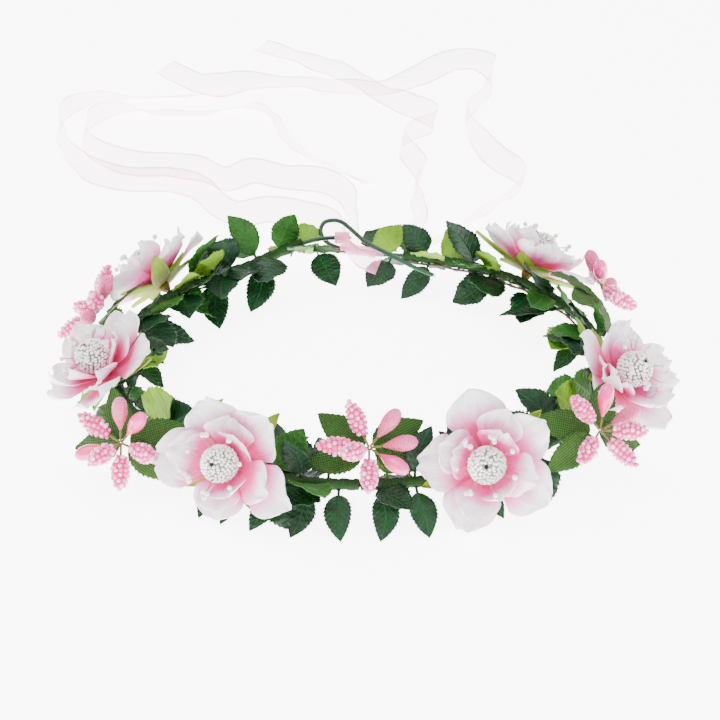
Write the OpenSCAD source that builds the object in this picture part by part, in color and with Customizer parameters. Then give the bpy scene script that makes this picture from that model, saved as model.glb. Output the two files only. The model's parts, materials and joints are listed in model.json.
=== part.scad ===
// Flower crown: a C-shaped wire ring with a hook at the back, wound with tape and set with
// fabric leaves, six open blossoms, five berry sprays and a sheer ribbon with four tails.
// The origin is the centre of the ring, on the table it lies on. +Z is up and -Y is the front.

/* [Ring] */
// Radius of the ring, to the middle of its wire
ring_r = 95; // [75:0.5:115]
// Height of the wire's middle above the table
ring_z = 15; // [15:0.5:20]
// Diameter of the bare steel core of the wire
core_d = 1.2; // [0.8:0.01:1.6]
// Wall of the green plastic sleeve on the wire
sleeve_wall = 0.55; // [0.3:0.05:0.8]
// Wall of the floral tape wound over the sleeve
tape_wall = 0.9; // [0.5:0.1:1.2]
// Gap between the two halves of the ring at the front
front_gap = 1.6; // [1.2:0.1:3]
// Diameter of the vine stem that runs beside the tape
vine_d = 1.2; // [0.8:0.1:1.6]

/* [Leaves] */
// Length of a leaf
leaf_len = 22; // [16:0.1:27]
// Width of a leaf
leaf_w = 12.5; // [8:0.5:15]
// Thickness of a leaf at its midrib
leaf_t = 0.5; // [0.3:0.1:1]
// How far the tip of a leaf droops
leaf_droop = 2.5; // [0:0.5:4]
// Length of a small leaf
small_leaf_len = 17; // [12:0.5:17.5]
// Width of a small leaf
small_leaf_w = 10.5; // [7:0.5:11]
// Angle round the ring from one leaf node to the next
leaf_pitch = 5; // [4:0.1:8]

/* [Blossoms] */
// Diameter of an open blossom
blossom_d = 50; // [40:0.1:52]
// Diameter of the beaded ball in the middle
ball_d = 13.5; // [10:0.1:16.5]
// Bore through the beaded ball
ball_bore = 1.5; // [1.3:0.1:2]
// Thickness of the petal fabric
petal_t = 0.5; // [0.3:0.1:0.8]
// Diameter of the wire stem of a blossom
stem_d = 1.3; // [0.8:0.1:1.3]
// Length of a stamen thread, from the middle of the blossom
stamen_len = 11.5; // [11:0.5:13]

/* [Berry sprays] */
// Length of a net leaf behind the buds
net_leaf_len = 22; // [16:0.5:23]
// Length of a bud with its stalk
bud_len = 18; // [14:0.5:20]
// Diameter of a bud at its fattest
bud_d = 5.6; // [4:0.2:6.4]
// Length of a beaded spike with its stalk
spike_len = 19; // [15:0.5:21]
// Diameter of a beaded spike over its beads
spike_d = 7.6; // [6:0.2:8.2]

/* [Ribbon] */
// Width of the sheer ribbon
ribbon_w = 12; // [8:0.5:13]
// Thickness that stands for the sheer ribbon
ribbon_t = 0.4; // [0.2:0.1:0.6]

/* [Hidden] */

up = [0, 0, 1];
slip = 0.05;                    // clearance between tubes that slide over each other
sleeve_r = core_d / 2 + slip + sleeve_wall;
tape_r = sleeve_r + slip + tape_wall;
vine_out = tape_r + 0.15 + vine_d / 2;      // middle of the vine, from the middle of the wire
vine_side = 215;                // side of the tape that the vine runs on, 0 is outward, 90 is up
root_out = vine_out + vine_d / 2 + 0.8;     // where leaves start, from the middle of the wire
arc_stop = 6.6;                 // how far right of the back the right half's arc stops
rise_start = 47.5;              // how far left of the back the left half starts to rise
right_end = acos(arc_stop / ring_r);
left_end = 90 + asin(rise_start / ring_r);
back = [0, ring_r, ring_z];     // the back of the wire's circle
arc_step = 7;                   // angle from ring to ring of points along the wires
foot_gap = 0.3;                 // height of the lowest leaf tips above the table

// Each blossom: angle round the ring, how far out and up of the wire its middle is, the turn of its
// face from straight outward, the tilt of its face above level, and its roll.
BLOSSOMS = [
    [143, 15, 9, 0, 35, 10],
    [194, 9, 15, 0, 55, 35],
    [243.5, 16.5, 11.5, 0, 25, 0],
    [294, 15.5, 11.5, -29, 25, 20],
    [343, 13, 13, -8, 45, 50],
    [46, 12.5, 11, 0, 45, 25]
];
// Each spray: angle round the ring, how far out and up of the wire its middle is, the turn of its
// face from straight outward, the tilt of its face, and its members.
// A member is a roll angle round the face and a spread from it. Buds come first, then beaded
// spikes, then the roll angles of the net leaves behind them.
SPRAYS = [
    [164, 13, 6, 12, 40, [[170, 66], [95, 72], [250, 70]],
        [[20, 70], [310, 72], [132, 62], [210, 64]], [68, 115, 235, 285]],
    [221, 20, 6, 24, 32, [[185, 66], [140, 64], [300, 76]],
        [[248, 74], [82, 76], [22, 72], [345, 30]], [70, 120, 215, 285]],
    [272, -2, 14, 0, 42, [[94, 78], [138, 66], [52, 72]],
        [[268, 82], [205, 66], [358, 70], [300, 36]], [80, 120, 230, 280]],
    [323, 15, 6, -20, 36, [[160, 68], [100, 76]],
        [[20, 72], [215, 72], [300, 74], [60, 38]], [65, 135, 240, 290]],
    [26, 14, 6, -14, 42, [[200, 62], [150, 66], [60, 78]],
        [[255, 74], [105, 74], [10, 76]], [55, 180, 225, 290]]
];
net_leaf_spread = 99;           // spread of the net leaves from the face of their spray

// The free end of the right wire, from the back: it turns back on itself as a long hook.
hook_points = [
    [2, 0.5, 1], [-8, 1, 2], [-14, 3, 4], [-16.5, 6, 7], [-15.5, 8.5, 10], [-12, 9.5, 11],
    [-7, 8, 10.5], [1, 2.5, 5.5], [8, -3, 3.5], [15, -9, 2.5], [22, -14.5, 1], [31, -19, -1]
];
// The free end of the left wire rises and lies inside the hook: x, then how far inside the circle
// and above it.
left_rise = [[-40, 0, 2], [-32, 0, 4], [-24, 0, 6.3], [-17, 0.5, 7.8], [-10.5, 1, 8.2], [-3.5, 1.5, 8.2]];
taped_rise = 2;                 // points of the rise that the tape covers

// Ribbon tails: x, y from the back, height above the table, lean on edge in degrees, and share of
// the full width.
tail_left_outer = [
    [-9, 5, 13, 0, 0.3], [-10, 18, 7, 10, 0.5], [-10, 35, 1, 30, 0.9], [-13, 51, 0.1, 60, 1],
    [-27, 60, 0.1, 75, 1], [-41, 65, 0.1, 60, 1], [-54, 59, 0.1, 75, 1], [-63, 70, 0.1, 70, 1],
    [-74, 90, 0.1, 60, 1], [-88, 99, 0.1, 45, 1], [-106, 99, 0.1, 50, 1], [-126, 111, 0.1, 70, 1],
    [-139, 141, 0.1, 85, 1], [-143, 170, 0.1, 85, 1], [-130, 193, 0.1, 60, 1], [-105, 201, 0.1, 25, 1],
    [-87, 204, 0.1, 15, 1], [-72, 202, 0.1, 30, 1]
];
tail_left_inner = [
    [-3.5, 5, 13, 0, 0.3], [-4, 20, 7, 10, 0.5], [-5, 40, 1, 30, 0.9], [-4, 60, 0.1, 60, 1],
    [-6, 80, 0.1, 75, 1], [-17, 96, 0.1, 60, 1], [-34, 102, 0.1, 45, 1], [-49, 107, 0.1, 60, 1],
    [-60, 96, 0.1, 80, 1], [-71, 107, 0.1, 75, 1], [-88, 115, 0.1, 50, 1], [-107, 117, 0.1, 60, 1],
    [-123, 130, 0.1, 80, 1], [-130, 151, 0.1, 85, 1], [-126, 172, 0.1, 75, 1], [-112, 182, 0.1, 40, 1],
    [-95, 184, 0.1, 15, 1], [-73, 185, 0.1, 10, 1], [-54, 187, 0.1, 30, 1], [-43, 172, 0.1, 70, 1],
    [-36, 150, 0.1, 75, 1], [-26, 129, 0.1, 60, 1], [-11, 112, 0.1, 40, 1], [5, 98, 0.1, 20, 1]
];
tail_right_outer = [
    [8, 5, 13, 0, 0.3], [17, 18, 7, 10, 0.5], [31, 35, 1, 30, 0.9], [46, 55, 0.1, 45, 1],
    [62, 73, 0.1, 60, 1], [74, 99, 0.1, 75, 1], [65, 119, 0.1, 60, 1], [56, 141, 0.1, 70, 1],
    [51, 169, 0.1, 85, 1], [60, 197, 0.1, 85, 1], [66, 223, 0.1, 80, 1], [61, 243, 0.1, 50, 1],
    [47, 247, 0.1, 40, 1], [31, 229, 0.1, 35, 1], [14, 216, 0.1, 20, 1], [-8, 218, 0.1, 10, 1],
    [-31, 224, 0.1, 10, 1], [-54, 223, 0.1, 25, 1], [-69, 210, 0.1, 60, 1], [-83, 222, 0.1, 30, 1],
    [-98, 243, 0.1, 15, 1]
];
tail_right_inner = [
    [3, 5, 13, 0, 0.3], [8, 20, 7, 10, 0.5], [18, 35, 1, 30, 0.9], [26, 49, 0.1, 50, 1],
    [26, 65, 0.1, 75, 1], [24, 85, 0.1, 75, 1], [29, 105, 0.1, 70, 1], [23, 124, 0.1, 75, 1],
    [20, 145, 0.1, 70, 1], [36, 165, 0.1, 85, 1], [24, 187, 0.1, 45, 1], [10, 204, 2.5, 12, 1],
    [-6, 225, 4, 10, 1], [-21, 245, 1.5, 12, 1], [-38, 264, 0.1, 10, 1], [-51, 275, 0.1, 5, 1]
];

// Vectors and places

function unit(v) = v / norm(v);
function heading(az, el) = [cos(az) * cos(el), sin(az) * cos(el), sin(el)];
function ring_point(a) = [ring_r * cos(a), ring_r * sin(a), ring_z];
// A place beside the wire: angle round the ring, side of the wire, distance from its middle.
function beside(a, side, out) = ring_point(a) + out * (cos(side) * heading(a, 0) + sin(side) * up);
function mid_point(item) = ring_point(item[0]) + item[1] * heading(item[0], 0) + item[2] * up;
function face_az(item) = item[0] + item[3];
function facing(item) = heading(face_az(item), item[4]);

// A point on a smooth curve through points p, u spans from its start.
function curve_at(p, u) =
    let (n = len(p) - 1, i = min(floor(u), n - 1), t = u - i,
         a = p[max(i - 1, 0)], b = p[i], c = p[i + 1], d = p[min(i + 2, n)])
    0.5 * (2 * b + (c - a) * t + (2 * a - 5 * b + 4 * c - d) * t * t
        + (3 * b - a - 3 * c + d) * t * t * t);
function smooth(p, per) = [for (k = [0 : (len(p) - 1) * per]) curve_at(p, k / per)];
function tangent(p, i) = unit(p[min(i + 1, len(p) - 1)] - p[max(i - 1, 0)]);

// One ring of points round point i of a path.
function ring_of(p, i, r, sides) =
    let (t = tangent(p, i), s = unit(cross(t, up)), n = cross(s, t))
    [for (k = [0 : sides - 1]) p[i] + r * (cos(k * 360 / sides) * s + sin(k * 360 / sides) * n)];
// Triangles that join ring after ring of m points, from point number o on. The side numbered by
// crossed is split along its other diagonal.
function skin(rings, m, o = 0, crossed = -1) = [for (i = [0 : rings - 2], k = [0 : m - 1], half = [0, 1])
    let (a = o + i * m + k, b = o + i * m + (k + 1) % m, c = b + m, d = a + m)
    k == crossed ? (half == 0 ? [a, b, d] : [b, c, d]) : half == 0 ? [a, b, c] : [a, c, d]];
function turned(faces) = [for (f = faces) [for (k = [len(f) - 1 : -1 : 0]) f[k]]];
function joined(lists) = [for (l = lists) each l];

// A round bar along a path.
module bar(p, r, sides = 8) {
    n = len(p);
    points = joined([for (i = [0 : n - 1]) ring_of(p, i, r, sides)]);
    ends = [[for (k = [sides - 1 : -1 : 0]) k], [for (k = [0 : sides - 1]) (n - 1) * sides + k]];
    polyhedron(points, turned(concat(skin(n, sides), ends)));
}

// A tube along a path, open at both ends.
module tube(p, outer, inner, sides = 8) {
    n = len(p);
    m = n * sides;
    points = joined([for (r = [outer, inner], i = [0 : n - 1]) ring_of(p, i, r, sides)]);
    ends = [for (i = [0, n - 1], k = [0 : sides - 1])
        let (a = i * sides + k, b = i * sides + (k + 1) % sides)
        i == 0 ? [b, a, m + a, m + b] : [a, b, m + b, m + a]];
    polyhedron(points, turned(concat(skin(n, sides), turned(skin(n, sides, m)), ends)));
}

// Place children with their +Z along a heading.
module aim(at, az, el, roll = 0) {
    translate(at) rotate([0, 90 - el, az]) rotate([0, 0, roll]) children();
}

// Wires, tape and vine

function arc(from, to, steps, side = 0, out = 0) =
    [for (i = [0 : steps]) beside(from + (to - from) * i / steps, side, out)];
function gap_angle(gap) = asin(gap / 2 / ring_r);

// The first part of a path, cut back at its start.
function first_part(p, count, cut) =
    [p[0] + unit(p[1] - p[0]) * cut, for (i = [1 : count - 1]) p[i]];

wire_gap = front_gap / 2;
right_steps = round((right_end + 90) / arc_step);
left_steps = round((270 - left_end) / arc_step);
right_wire = arc(-90 + gap_angle(wire_gap), right_end, right_steps);
left_rise_points = [for (q = left_rise)
    [q[0], sqrt(ring_r * ring_r - q[0] * q[0]) - q[1], ring_z + q[2]]];
left_wire = concat(arc(270 - gap_angle(wire_gap), left_end, left_steps), smooth(left_rise_points, 2));
right_taped = first_part(right_wire, right_steps, (front_gap - wire_gap) / 2);
left_taped = first_part(left_wire, left_steps + 2 + 2 * taped_rise, (front_gap - wire_gap) / 2);
tape_right_end = right_end - arc_step;      // angle round the ring where the right half's tape stops
hook_curve = [for (q = smooth(hook_points, 2)) back + q];
hook_route = concat([ring_point(right_end)], hook_curve);
hook_wire = first_part(hook_route, len(hook_route), 0.3);

module core_wire_right() {
    color("silver") bar(concat(right_wire, hook_curve), core_d / 2);
}
module core_wire_left() { color("silver") bar(left_wire, core_d / 2); }
module wire_sleeve_right() { color("darkgreen") tube(right_wire, sleeve_r, core_d / 2 + slip); }
module wire_sleeve_left() { color("darkgreen") tube(left_wire, sleeve_r, core_d / 2 + slip); }
module closure_hook() { color("seagreen") tube(hook_wire, sleeve_r, core_d / 2 + slip); }
module floral_tape_right() { color("darkolivegreen") tube(right_taped, tape_r, sleeve_r + slip); }
module floral_tape_left() { color("darkolivegreen") tube(left_taped, tape_r, sleeve_r + slip); }
module vine_stem(from, to) {
    color("saddlebrown") bar(arc(from, to, 30, vine_side, vine_out), vine_d / 2, 6);
}

// Leaves

stations = [0.12, 0.32, 0.56, 0.8];         // shares of the leaf's length that its outline is set at
shares = [0.52, 0.92, 0.98, 0.6];           // and the share of its width there
jitter = rands(-1, 1, 400, 7);

// Points of one leaf: root, direction, direction that its top faces, length and width.
function leaf_points(root, d, top, l, w) =
    let (s = unit(cross(d, top)), n = cross(s, d))
    concat([root],
        joined([for (i = [0 : len(stations) - 1])
            let (t = stations[i], h = w / 2 * shares[i], c = root + d * l * t - n * leaf_droop * t * t)
            [c - s * h - n * 0.1 * h, c + n * leaf_t / 2, c + s * h - n * 0.1 * h, c - n * leaf_t / 2]]),
        [root + d * l - n * leaf_droop]);
leaf_size = 4 * len(stations) + 2;
function leaf_faces(o) = concat(
    [for (k = [0 : 3]) [o, o + 1 + (k + 1) % 4, o + 1 + k]],
    skin(len(stations), 4, o + 1),
    [for (k = [0 : 3]) [o + leaf_size - 1, o + leaf_size - 5 + k, o + leaf_size - 5 + (k + 1) % 4]]);
module leaf_group(leaves) {
    polyhedron(joined(leaves), joined([for (i = [0 : len(leaves) - 1]) leaf_faces(i * leaf_size)]));
}

// True where a point would be inside a blossom or a berry spray.
function in_blossom(p, b) =
    let (v = p - mid_point(b), h = v * facing(b), out = norm(v - h * facing(b)))
    out < blossom_d / 2 + 1.5 && h > -13 + out * 0.22;
function in_spray(p, s) =
    let (v = p - mid_point(s), h = v * facing(s))
    h > -8.5 && norm(v) < spike_len + 2.5;
function blocked(p) =
    len([for (b = BLOSSOMS) if (in_blossom(p, b)) 1])
        + len([for (s = SPRAYS) if (in_spray(p, s)) 1]) > 0;
// The two halves of the ring swing apart at the front, so their leaves keep clear of that line.
function far_side(p, right) =
    right ? p[0] < front_gap / 2 + 0.4
        : p[0] > -front_gap / 2 - 0.4 - 0.3 * max(0, -ring_r - p[1]);
// The hook and the ribbon need room at the back.
function at_closure(p) = p[1] > ring_r - 28 && p[0] > -26 && p[0] < 34 && p[2] > 6;

// Rule that sets leaf number k: its angle, side of the wire, lean along the wire and length.
leaf_sides = [-38, 150, 80, 208, 20, 118, 175, -60, 100];
function lift_at(a) = a > 90 && a < left_end ? (left_end - a) * 0.3 : 0;
function leaf_at(k, a, right) =
    let (side = leaf_sides[k % 9] + 9 * jitter[k],
         lean = (right ? -1 : 1) * (40 + 16 * jitter[k + 90]) * (k % 5 == 0 ? -1 : 1),
         l = leaf_len * (1 + 0.12 * jitter[k + 180]),
         low = -asin(min(0.95, (ring_z - foot_gap) / (root_out + l * cos(lean) + 2))),
         held = side < 0 ? max(side, low) : side > 180 ? min(side, 180 - low) : side)
    set_leaf([a, held, lean], l, leaf_w * (1 + 0.1 * jitter[k + 45]), 0.25 * jitter[k + 270]);
// A leaf at q, which is its angle round the ring, its side of the wire and its lean along the wire.
function set_leaf(q, l, w, roll = 0) =
    let (side = q[1], away = heading(q[0], 0), t = [-sin(q[0]), cos(q[0]), 0],
         d = unit(cos(q[2]) * (cos(side) * away + sin(side) * up) + sin(q[2]) * t),
         turn = side < 89 && side > -91 ? side + 90 : side - 90,
         top = unit(cos(turn) * away + sin(turn) * up + roll * t))
    leaf_points(beside(q[0], side, root_out) + lift_at(q[0]) * up, d, top, l, w);
function is_clear(leaf, right) =
    len([for (i = [1 : leaf_size - 1]) if (blocked(leaf[i]) || far_side(leaf[i], right)
        || at_closure(leaf[i]) || leaf[i][2] < 0.05) 1]) == 0;
// All the leaves between two angles, three at each leaf node.
function leaves_between(from, to, right, first) =
    let (n = ceil(abs(to - from) / leaf_pitch), step = (to - from) / n)
    [for (i = [0 : n - 1], j = [0 : 2])
        let (leaf = leaf_at(first + 3 * i + j, from + step * (i + j / 3), right))
        if (is_clear(leaf, right)) leaf];
module leaves(from, to, right, first, small = []) {
    color("forestgreen") leaf_group(concat(leaves_between(from, to, right, first),
        [for (q = small) set_leaf(q, small_leaf_len, small_leaf_w)]));
}

// Small leaves set one by one where the rule leaves the wire bare: angle round the ring, side of
// the wire and lean along it.
SMALL_FRONT_RIGHT = [
    [-85, -36, -8], [-78, -36, 6], [-71, -37, 12], [-66, -38, 30], [-84, 150, 20], [-78, 100, 25],
    [-88, -8, 62], [-86, 190, 50], [-79, 150, 30]
];
SMALL_FRONT_LEFT = [
    [265.5, -36, 6], [258.5, -37, -10], [251, -38, -14], [244, -36, -6], [237, -36, 8],
    [263, 150, -20], [252, 130, -20], [257, 80, -15], [264, -8, -65], [254, -8, -68], [262, 190, -50]
];
SMALL_BACK_RIGHT = [
    [77, 50, 66], [71, 88, 60], [73, 12, 60], [66, 140, 55], [67, -32, 50], [80, 200, 40],
    [72, 218, 30], [62, 55, 60], [60, 10, 60], [78, -34, 50], [82, 20, 50]
];
SMALL_BACK_LEFT = [
    [113, 88, -45], [106, -28, -35], [103, 160, -45], [103, 215, -30], [110, 140, -40],
    [112, -2, -40], [107, 20, -50]
];

// Blossoms

// A lobed, cupped disc of fabric with a round hole: rim radius, lobes, depth of the cuts between
// them, hole radius, height at the hole, rise to the rim and height of the ruffle.
module petal_disc(rim, lobes, cut, hole, z0, rise, ruffle, columns = 30, rows = 4) {
    edge = function (a) rim * (1 - cut * (1 - pow(abs(cos(lobes * a / 2)), 0.5)));
    point = function (side, row, a)
        let (t = row / rows, r = hole + (edge(a) - hole) * t,
             z = z0 + rise * pow(r / rim, 1.6) + ruffle * sin(lobes * 2 * a) * pow(t, 3))
        [r * cos(a), r * sin(a), z + side * petal_t / 2];
    m = (rows + 1) * columns;
    points = [for (side = [1, -1], row = [0 : rows], k = [0 : columns - 1])
        point(side, row, k * 360 / columns)];
    rims = [for (row = [0, rows], k = [0 : columns - 1])
        let (a = row * columns + k, b = row * columns + (k + 1) % columns)
        row == 0 ? [b, a, m + a, m + b] : [a, b, m + b, m + a]];
    under = turned(skin(rows + 1, columns, m));
    polyhedron(points, concat(skin(rows + 1, columns), under, rims));
}

hole_r = stem_d / 2 + 0.35;
petal_seat = -7.95;                         // height of the inner petals at the stem
ball_seat = petal_seat + 1.2;               // height that the bottom of the ball stands at
module on_blossom(i) {
    b = BLOSSOMS[i - 1];
    aim(mid_point(b), face_az(b), b[4], b[5]) children();
}
module outer_petals(i) {
    color("white") on_blossom(i)
        petal_disc(blossom_d / 2, 6, 0.2, hole_r, petal_seat - 1.6, 4.5, 0.9);
}
module inner_petals(i) {
    color("mistyrose") on_blossom(i)
        petal_disc(blossom_d * 0.36, 5, 0.24, hole_r, petal_seat, 7.5, 0.6, 25);
}
module calyx(i) {
    color("yellowgreen") on_blossom(i)
        petal_disc(blossom_d * 0.27, 7, 0.55, hole_r, petal_seat - 3.4, 1.2, 0, 28, 3);
}
module beaded_ball(i) {
    color("ivory") on_blossom(i) translate([0, 0, ball_seat + ball_d / 2]) difference() {
        sphere(d = ball_d, $fn = 48);
        cylinder(d = ball_bore, h = ball_d + 2, center = true, $fn = 24);
    }
}
// Pearl-tipped threads stand in a ring round the beaded ball.
module stamens(list) {
    color("linen") for (i = list) on_blossom(i)
        for (k = [0 : 6]) translate([0, 0, ball_seat + ball_d / 2]) rotate([0, 62, k * 360 / 7]) {
            translate([0, 0, ball_d / 2 + 0.3]) cylinder(d = 0.5, h = stamen_len - ball_d / 2, $fn = 16);
            translate([0, 0, stamen_len + 0.6]) sphere(d = 1.8, $fn = 16);
        }
}
// The stem leaves the tape, bends and runs straight up the middle of the blossom.
module blossom_stem(i) {
    b = BLOSSOMS[i - 1];
    d = facing(b);
    top = mid_point(b) + (ball_seat + ball_d / 2 - 3) * d;
    neck = mid_point(b) + (petal_seat - 4.2) * d;
    side = atan2(neck[2] - ring_z, norm([neck[0], neck[1]]) - ring_r);
    bar(smooth([beside(b[0], side, tape_r + 0.2), neck, neck + 2 * d, top], 2), stem_d / 2 - 0.02, 8);
}
module blossom_stems(list) { color("darkgreen") for (i = list) blossom_stem(i); }

// Berry sprays

module on_spray(s) { aim(mid_point(s), face_az(s), s[4]) children(); }
module member(m) { rotate([0, 0, m[0]]) rotate([0, m[1], 0]) children(); }
module bud() {
    rotate_extrude($fn = 24) polygon([[0, 2], [0.45, 2], [0.5, bud_len * 0.35],
        [bud_d * 0.26, bud_len * 0.5], [bud_d * 0.46, bud_len * 0.68], [bud_d * 0.5, bud_len * 0.78],
        [bud_d * 0.4, bud_len * 0.9], [bud_d * 0.18, bud_len * 0.98], [0, bud_len]]);
}
module spike() {
    rotate_extrude($fn = 24) polygon([[0, 2], [0.45, 2], [0.5, spike_len * 0.26],
        [spike_d * 0.36, spike_len * 0.34], [spike_d * 0.5, spike_len * 0.5],
        [spike_d * 0.48, spike_len * 0.68], [spike_d * 0.36, spike_len * 0.86],
        [spike_d * 0.15, spike_len * 0.98], [0, spike_len]]);
}
module buds(i) {
    color("palevioletred") on_spray(SPRAYS[i - 1]) for (m = SPRAYS[i - 1][5]) member(m) bud();
}
module bead_spikes(i) {
    color("hotpink") on_spray(SPRAYS[i - 1]) for (m = SPRAYS[i - 1][6]) member(m) spike();
}
// Net leaves lie behind the members of each spray.
function net_leaf(s, roll) =
    let (f = facing(s), down = heading(face_az(s), s[4] - 90), across = cross(f, down),
         out = cos(roll) * down + sin(roll) * across,
         d = unit(sin(net_leaf_spread) * out + cos(net_leaf_spread) * f))
    leaf_points(mid_point(s) - 3.4 * f + 2 * out, d, f, net_leaf_len, leaf_w);
module spray_leaves(list) {
    color("olivedrab") leaf_group([for (i = list, r = SPRAYS[i - 1][7]) net_leaf(SPRAYS[i - 1], r)]);
}

// Ribbon

// A flat strip along a route of [x, y, height, lean, share of width].
function strip_points(route) =
    let (p = smooth(route, 3), places = [for (q = p)
            [q[0], ring_r + q[1],
             max(q[2], 0.05) + ribbon_t / 2 + ribbon_w / 2 * q[4] * sin(q[3])]])
    joined([for (i = [0 : len(p) - 1])
        let (t = tangent(places, i), level = unit(cross(t, up)),
             s = cos(p[i][3]) * level + sin(p[i][3]) * cross(level, t), n = cross(s, t),
             a = s * ribbon_w * p[i][4] / 2, b = n * ribbon_t / 2)
        [places[i] - a - b, places[i] + a - b, places[i] + a + b, places[i] - a + b]]);
// Both broad faces are split along one diagonal, so a twisted strip keeps its thickness.
module strip(route) {
    points = strip_points(route);
    n = len(points) / 4;
    ends = [[3, 2, 1, 0], [4 * n - 4, 4 * n - 3, 4 * n - 2, 4 * n - 1]];
    polyhedron(points, concat(skin(n, 4, 0, 2), ends));
}
module ribbon_tails_left() {
    color("pink") strip(tail_left_outer);
    color("pink") strip(tail_left_inner);
}
module ribbon_tails_right() {
    color("pink") strip(tail_right_outer);
    color("pink") strip(tail_right_inner);
}
loop_at = back + [-7.5, -1.6, 8.2];         // middle of the loop round the left wire's end
loop_clear = 0.7;                           // room for the wire to slide out of the loop
loop_len = 6;
wrap_span = 4;                  // points of the hook that the ribbon is wound over
// Ribbon wound once round the end of the left wire, with the strap that ties it to the hook.
module ribbon_loop() {
    inner = sleeve_r + loop_clear;
    color("lightpink") translate(loop_at) {
        rotate([0, 90, 0]) difference() {
            cylinder(r = inner + 0.7, h = loop_len, center = true, $fn = 48);
            cylinder(r = inner, h = loop_len + 2, center = true, $fn = 48);
        }
        translate([loop_len / 2 - 1.5, 0, -inner - 2.4]) cylinder(r = 1.2, h = 2, $fn = 24);
    }
}
module ribbon_wrap() {
    color("lightpink")
        tube(first_part(hook_wire, wrap_span, 0.6), sleeve_r + slip + 1, sleeve_r + 2 * slip);
}

core_wire_right();
core_wire_left();
wire_sleeve_right();
wire_sleeve_left();
closure_hook();
floral_tape_right();
floral_tape_left();
vine_stem(-88.6, tape_right_end);  // vine_stem_right
vine_stem(268.6, left_end);  // vine_stem_left
leaves(-88, -40, true, 0, SMALL_FRONT_RIGHT);  // leaves_front_right
leaves(-40, 22, true, 31);  // leaves_side_right
leaves(27, tape_right_end, true, 14, SMALL_BACK_RIGHT);  // leaves_back_right
leaves(268, 220, false, 5, SMALL_FRONT_LEFT);  // leaves_front_left
leaves(217, 158, false, 40);  // leaves_side_left
leaves(158, 109, false, 22, SMALL_BACK_LEFT);  // leaves_back_left
for (i = [1 : 6]) {
    outer_petals(i);
    inner_petals(i);
    calyx(i);
    beaded_ball(i);
}
stamens([4, 5, 6]);  // stamens_right
stamens([1, 2, 3]);  // stamens_left
blossom_stems([4, 5, 6]);  // blossom_stems_right
blossom_stems([1, 2, 3]);  // blossom_stems_left
for (i = [1 : 5]) {
    buds(i);
    bead_spikes(i);
}
spray_leaves([3, 4, 5]);  // spray_leaves_right
spray_leaves([1, 2]);  // spray_leaves_left
ribbon_loop();
ribbon_wrap();
ribbon_tails_left();
ribbon_tails_right();
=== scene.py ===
"""Flower crown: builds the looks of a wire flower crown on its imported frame.

Leaves, blossoms, berry sprays, wound wires and sheer ribbon are each made by an operator of their
own, and the sizes and colours that a user would change are in the sidebar's Crown tab.
"""
import json
import math

import bmesh
import bpy
import numpy as np
from bpy.props import FloatProperty, FloatVectorProperty, IntProperty, PointerProperty
from bpy.types import Operator, Panel, PropertyGroup
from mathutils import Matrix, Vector


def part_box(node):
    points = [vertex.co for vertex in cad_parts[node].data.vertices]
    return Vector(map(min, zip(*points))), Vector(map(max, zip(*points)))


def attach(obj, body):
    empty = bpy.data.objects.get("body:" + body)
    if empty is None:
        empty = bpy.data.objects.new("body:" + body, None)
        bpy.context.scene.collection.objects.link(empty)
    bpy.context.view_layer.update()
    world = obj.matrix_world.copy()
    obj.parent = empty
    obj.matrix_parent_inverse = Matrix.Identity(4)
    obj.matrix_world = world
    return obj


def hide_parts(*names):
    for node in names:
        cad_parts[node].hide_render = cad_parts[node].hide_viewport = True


bl_info = {
    "name": "Flower Crown",
    "version": (1, 0, 0),
    "blender": (4, 5, 0),
    "location": "View3D > Sidebar > Crown",
    "description": "Builds the leaves, blossoms, berries, wires and ribbon of a flower crown",
    "category": "Object",
}

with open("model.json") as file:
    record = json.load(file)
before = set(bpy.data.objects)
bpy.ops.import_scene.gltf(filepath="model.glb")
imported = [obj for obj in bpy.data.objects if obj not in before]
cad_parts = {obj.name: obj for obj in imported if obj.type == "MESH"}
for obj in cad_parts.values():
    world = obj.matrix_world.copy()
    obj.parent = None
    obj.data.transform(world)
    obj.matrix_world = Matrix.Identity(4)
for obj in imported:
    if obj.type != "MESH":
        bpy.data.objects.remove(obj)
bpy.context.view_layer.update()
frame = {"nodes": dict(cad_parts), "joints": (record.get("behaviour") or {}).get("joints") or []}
MM = 0.001
UP = np.array([0.0, 0.0, 1.0])
NEARLY_UP = UP + 0.01 * np.array([0.3, 0.2, 0])
RIGHT, LEFT = "right_half", "left_half"
# Each body, the word that ends the names of its nodes, and its side of the crown.
HALVES = ((RIGHT, "right", 1), (LEFT, "left", -1))
# How many corners the frame's swept bars have in section.
CORE_CORNERS, VINE_CORNERS, STRIP_CORNERS = 8, 6, 4
CAP_RISE = 0.35
HINGE = np.array(frame["joints"][0]["pos_m"])
RING_R = abs(HINGE[1])
RING_Z = HINGE[2]


# Vectors


def unit(v):
    """The vector or rows of vectors at length one."""
    return v / np.maximum(np.linalg.norm(v, axis=-1, keepdims=True), 1e-12)


def across_and_over(direction, over):
    """Two vectors square to a direction; the second is the nearest to the way given by over."""
    side = unit(np.cross(over, direction))
    return side, np.cross(direction, side)


def smoothstep(x, low, high):
    """0 below low, 1 above high and a smooth rise between them."""
    t = np.clip((x - low) / (high - low), 0, 1)
    return t * t * (3 - 2 * t)


# What the frame's own meshes say about places


def welded(name):
    """A node's vertices, joined where they meet, and its triangles."""
    mesh = frame["nodes"][name].data
    places = np.empty(3 * len(mesh.vertices))
    mesh.vertices.foreach_get("co", places)
    mesh.calc_loop_triangles()
    triangles = np.empty(3 * len(mesh.loop_triangles), dtype=np.int32)
    mesh.loop_triangles.foreach_get("vertices", triangles)
    joined, index = np.unique(np.round(places.reshape(-1, 3), 6), axis=0, return_inverse=True)
    return joined, index.reshape(-1)[triangles.reshape(-1, 3)]


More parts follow.
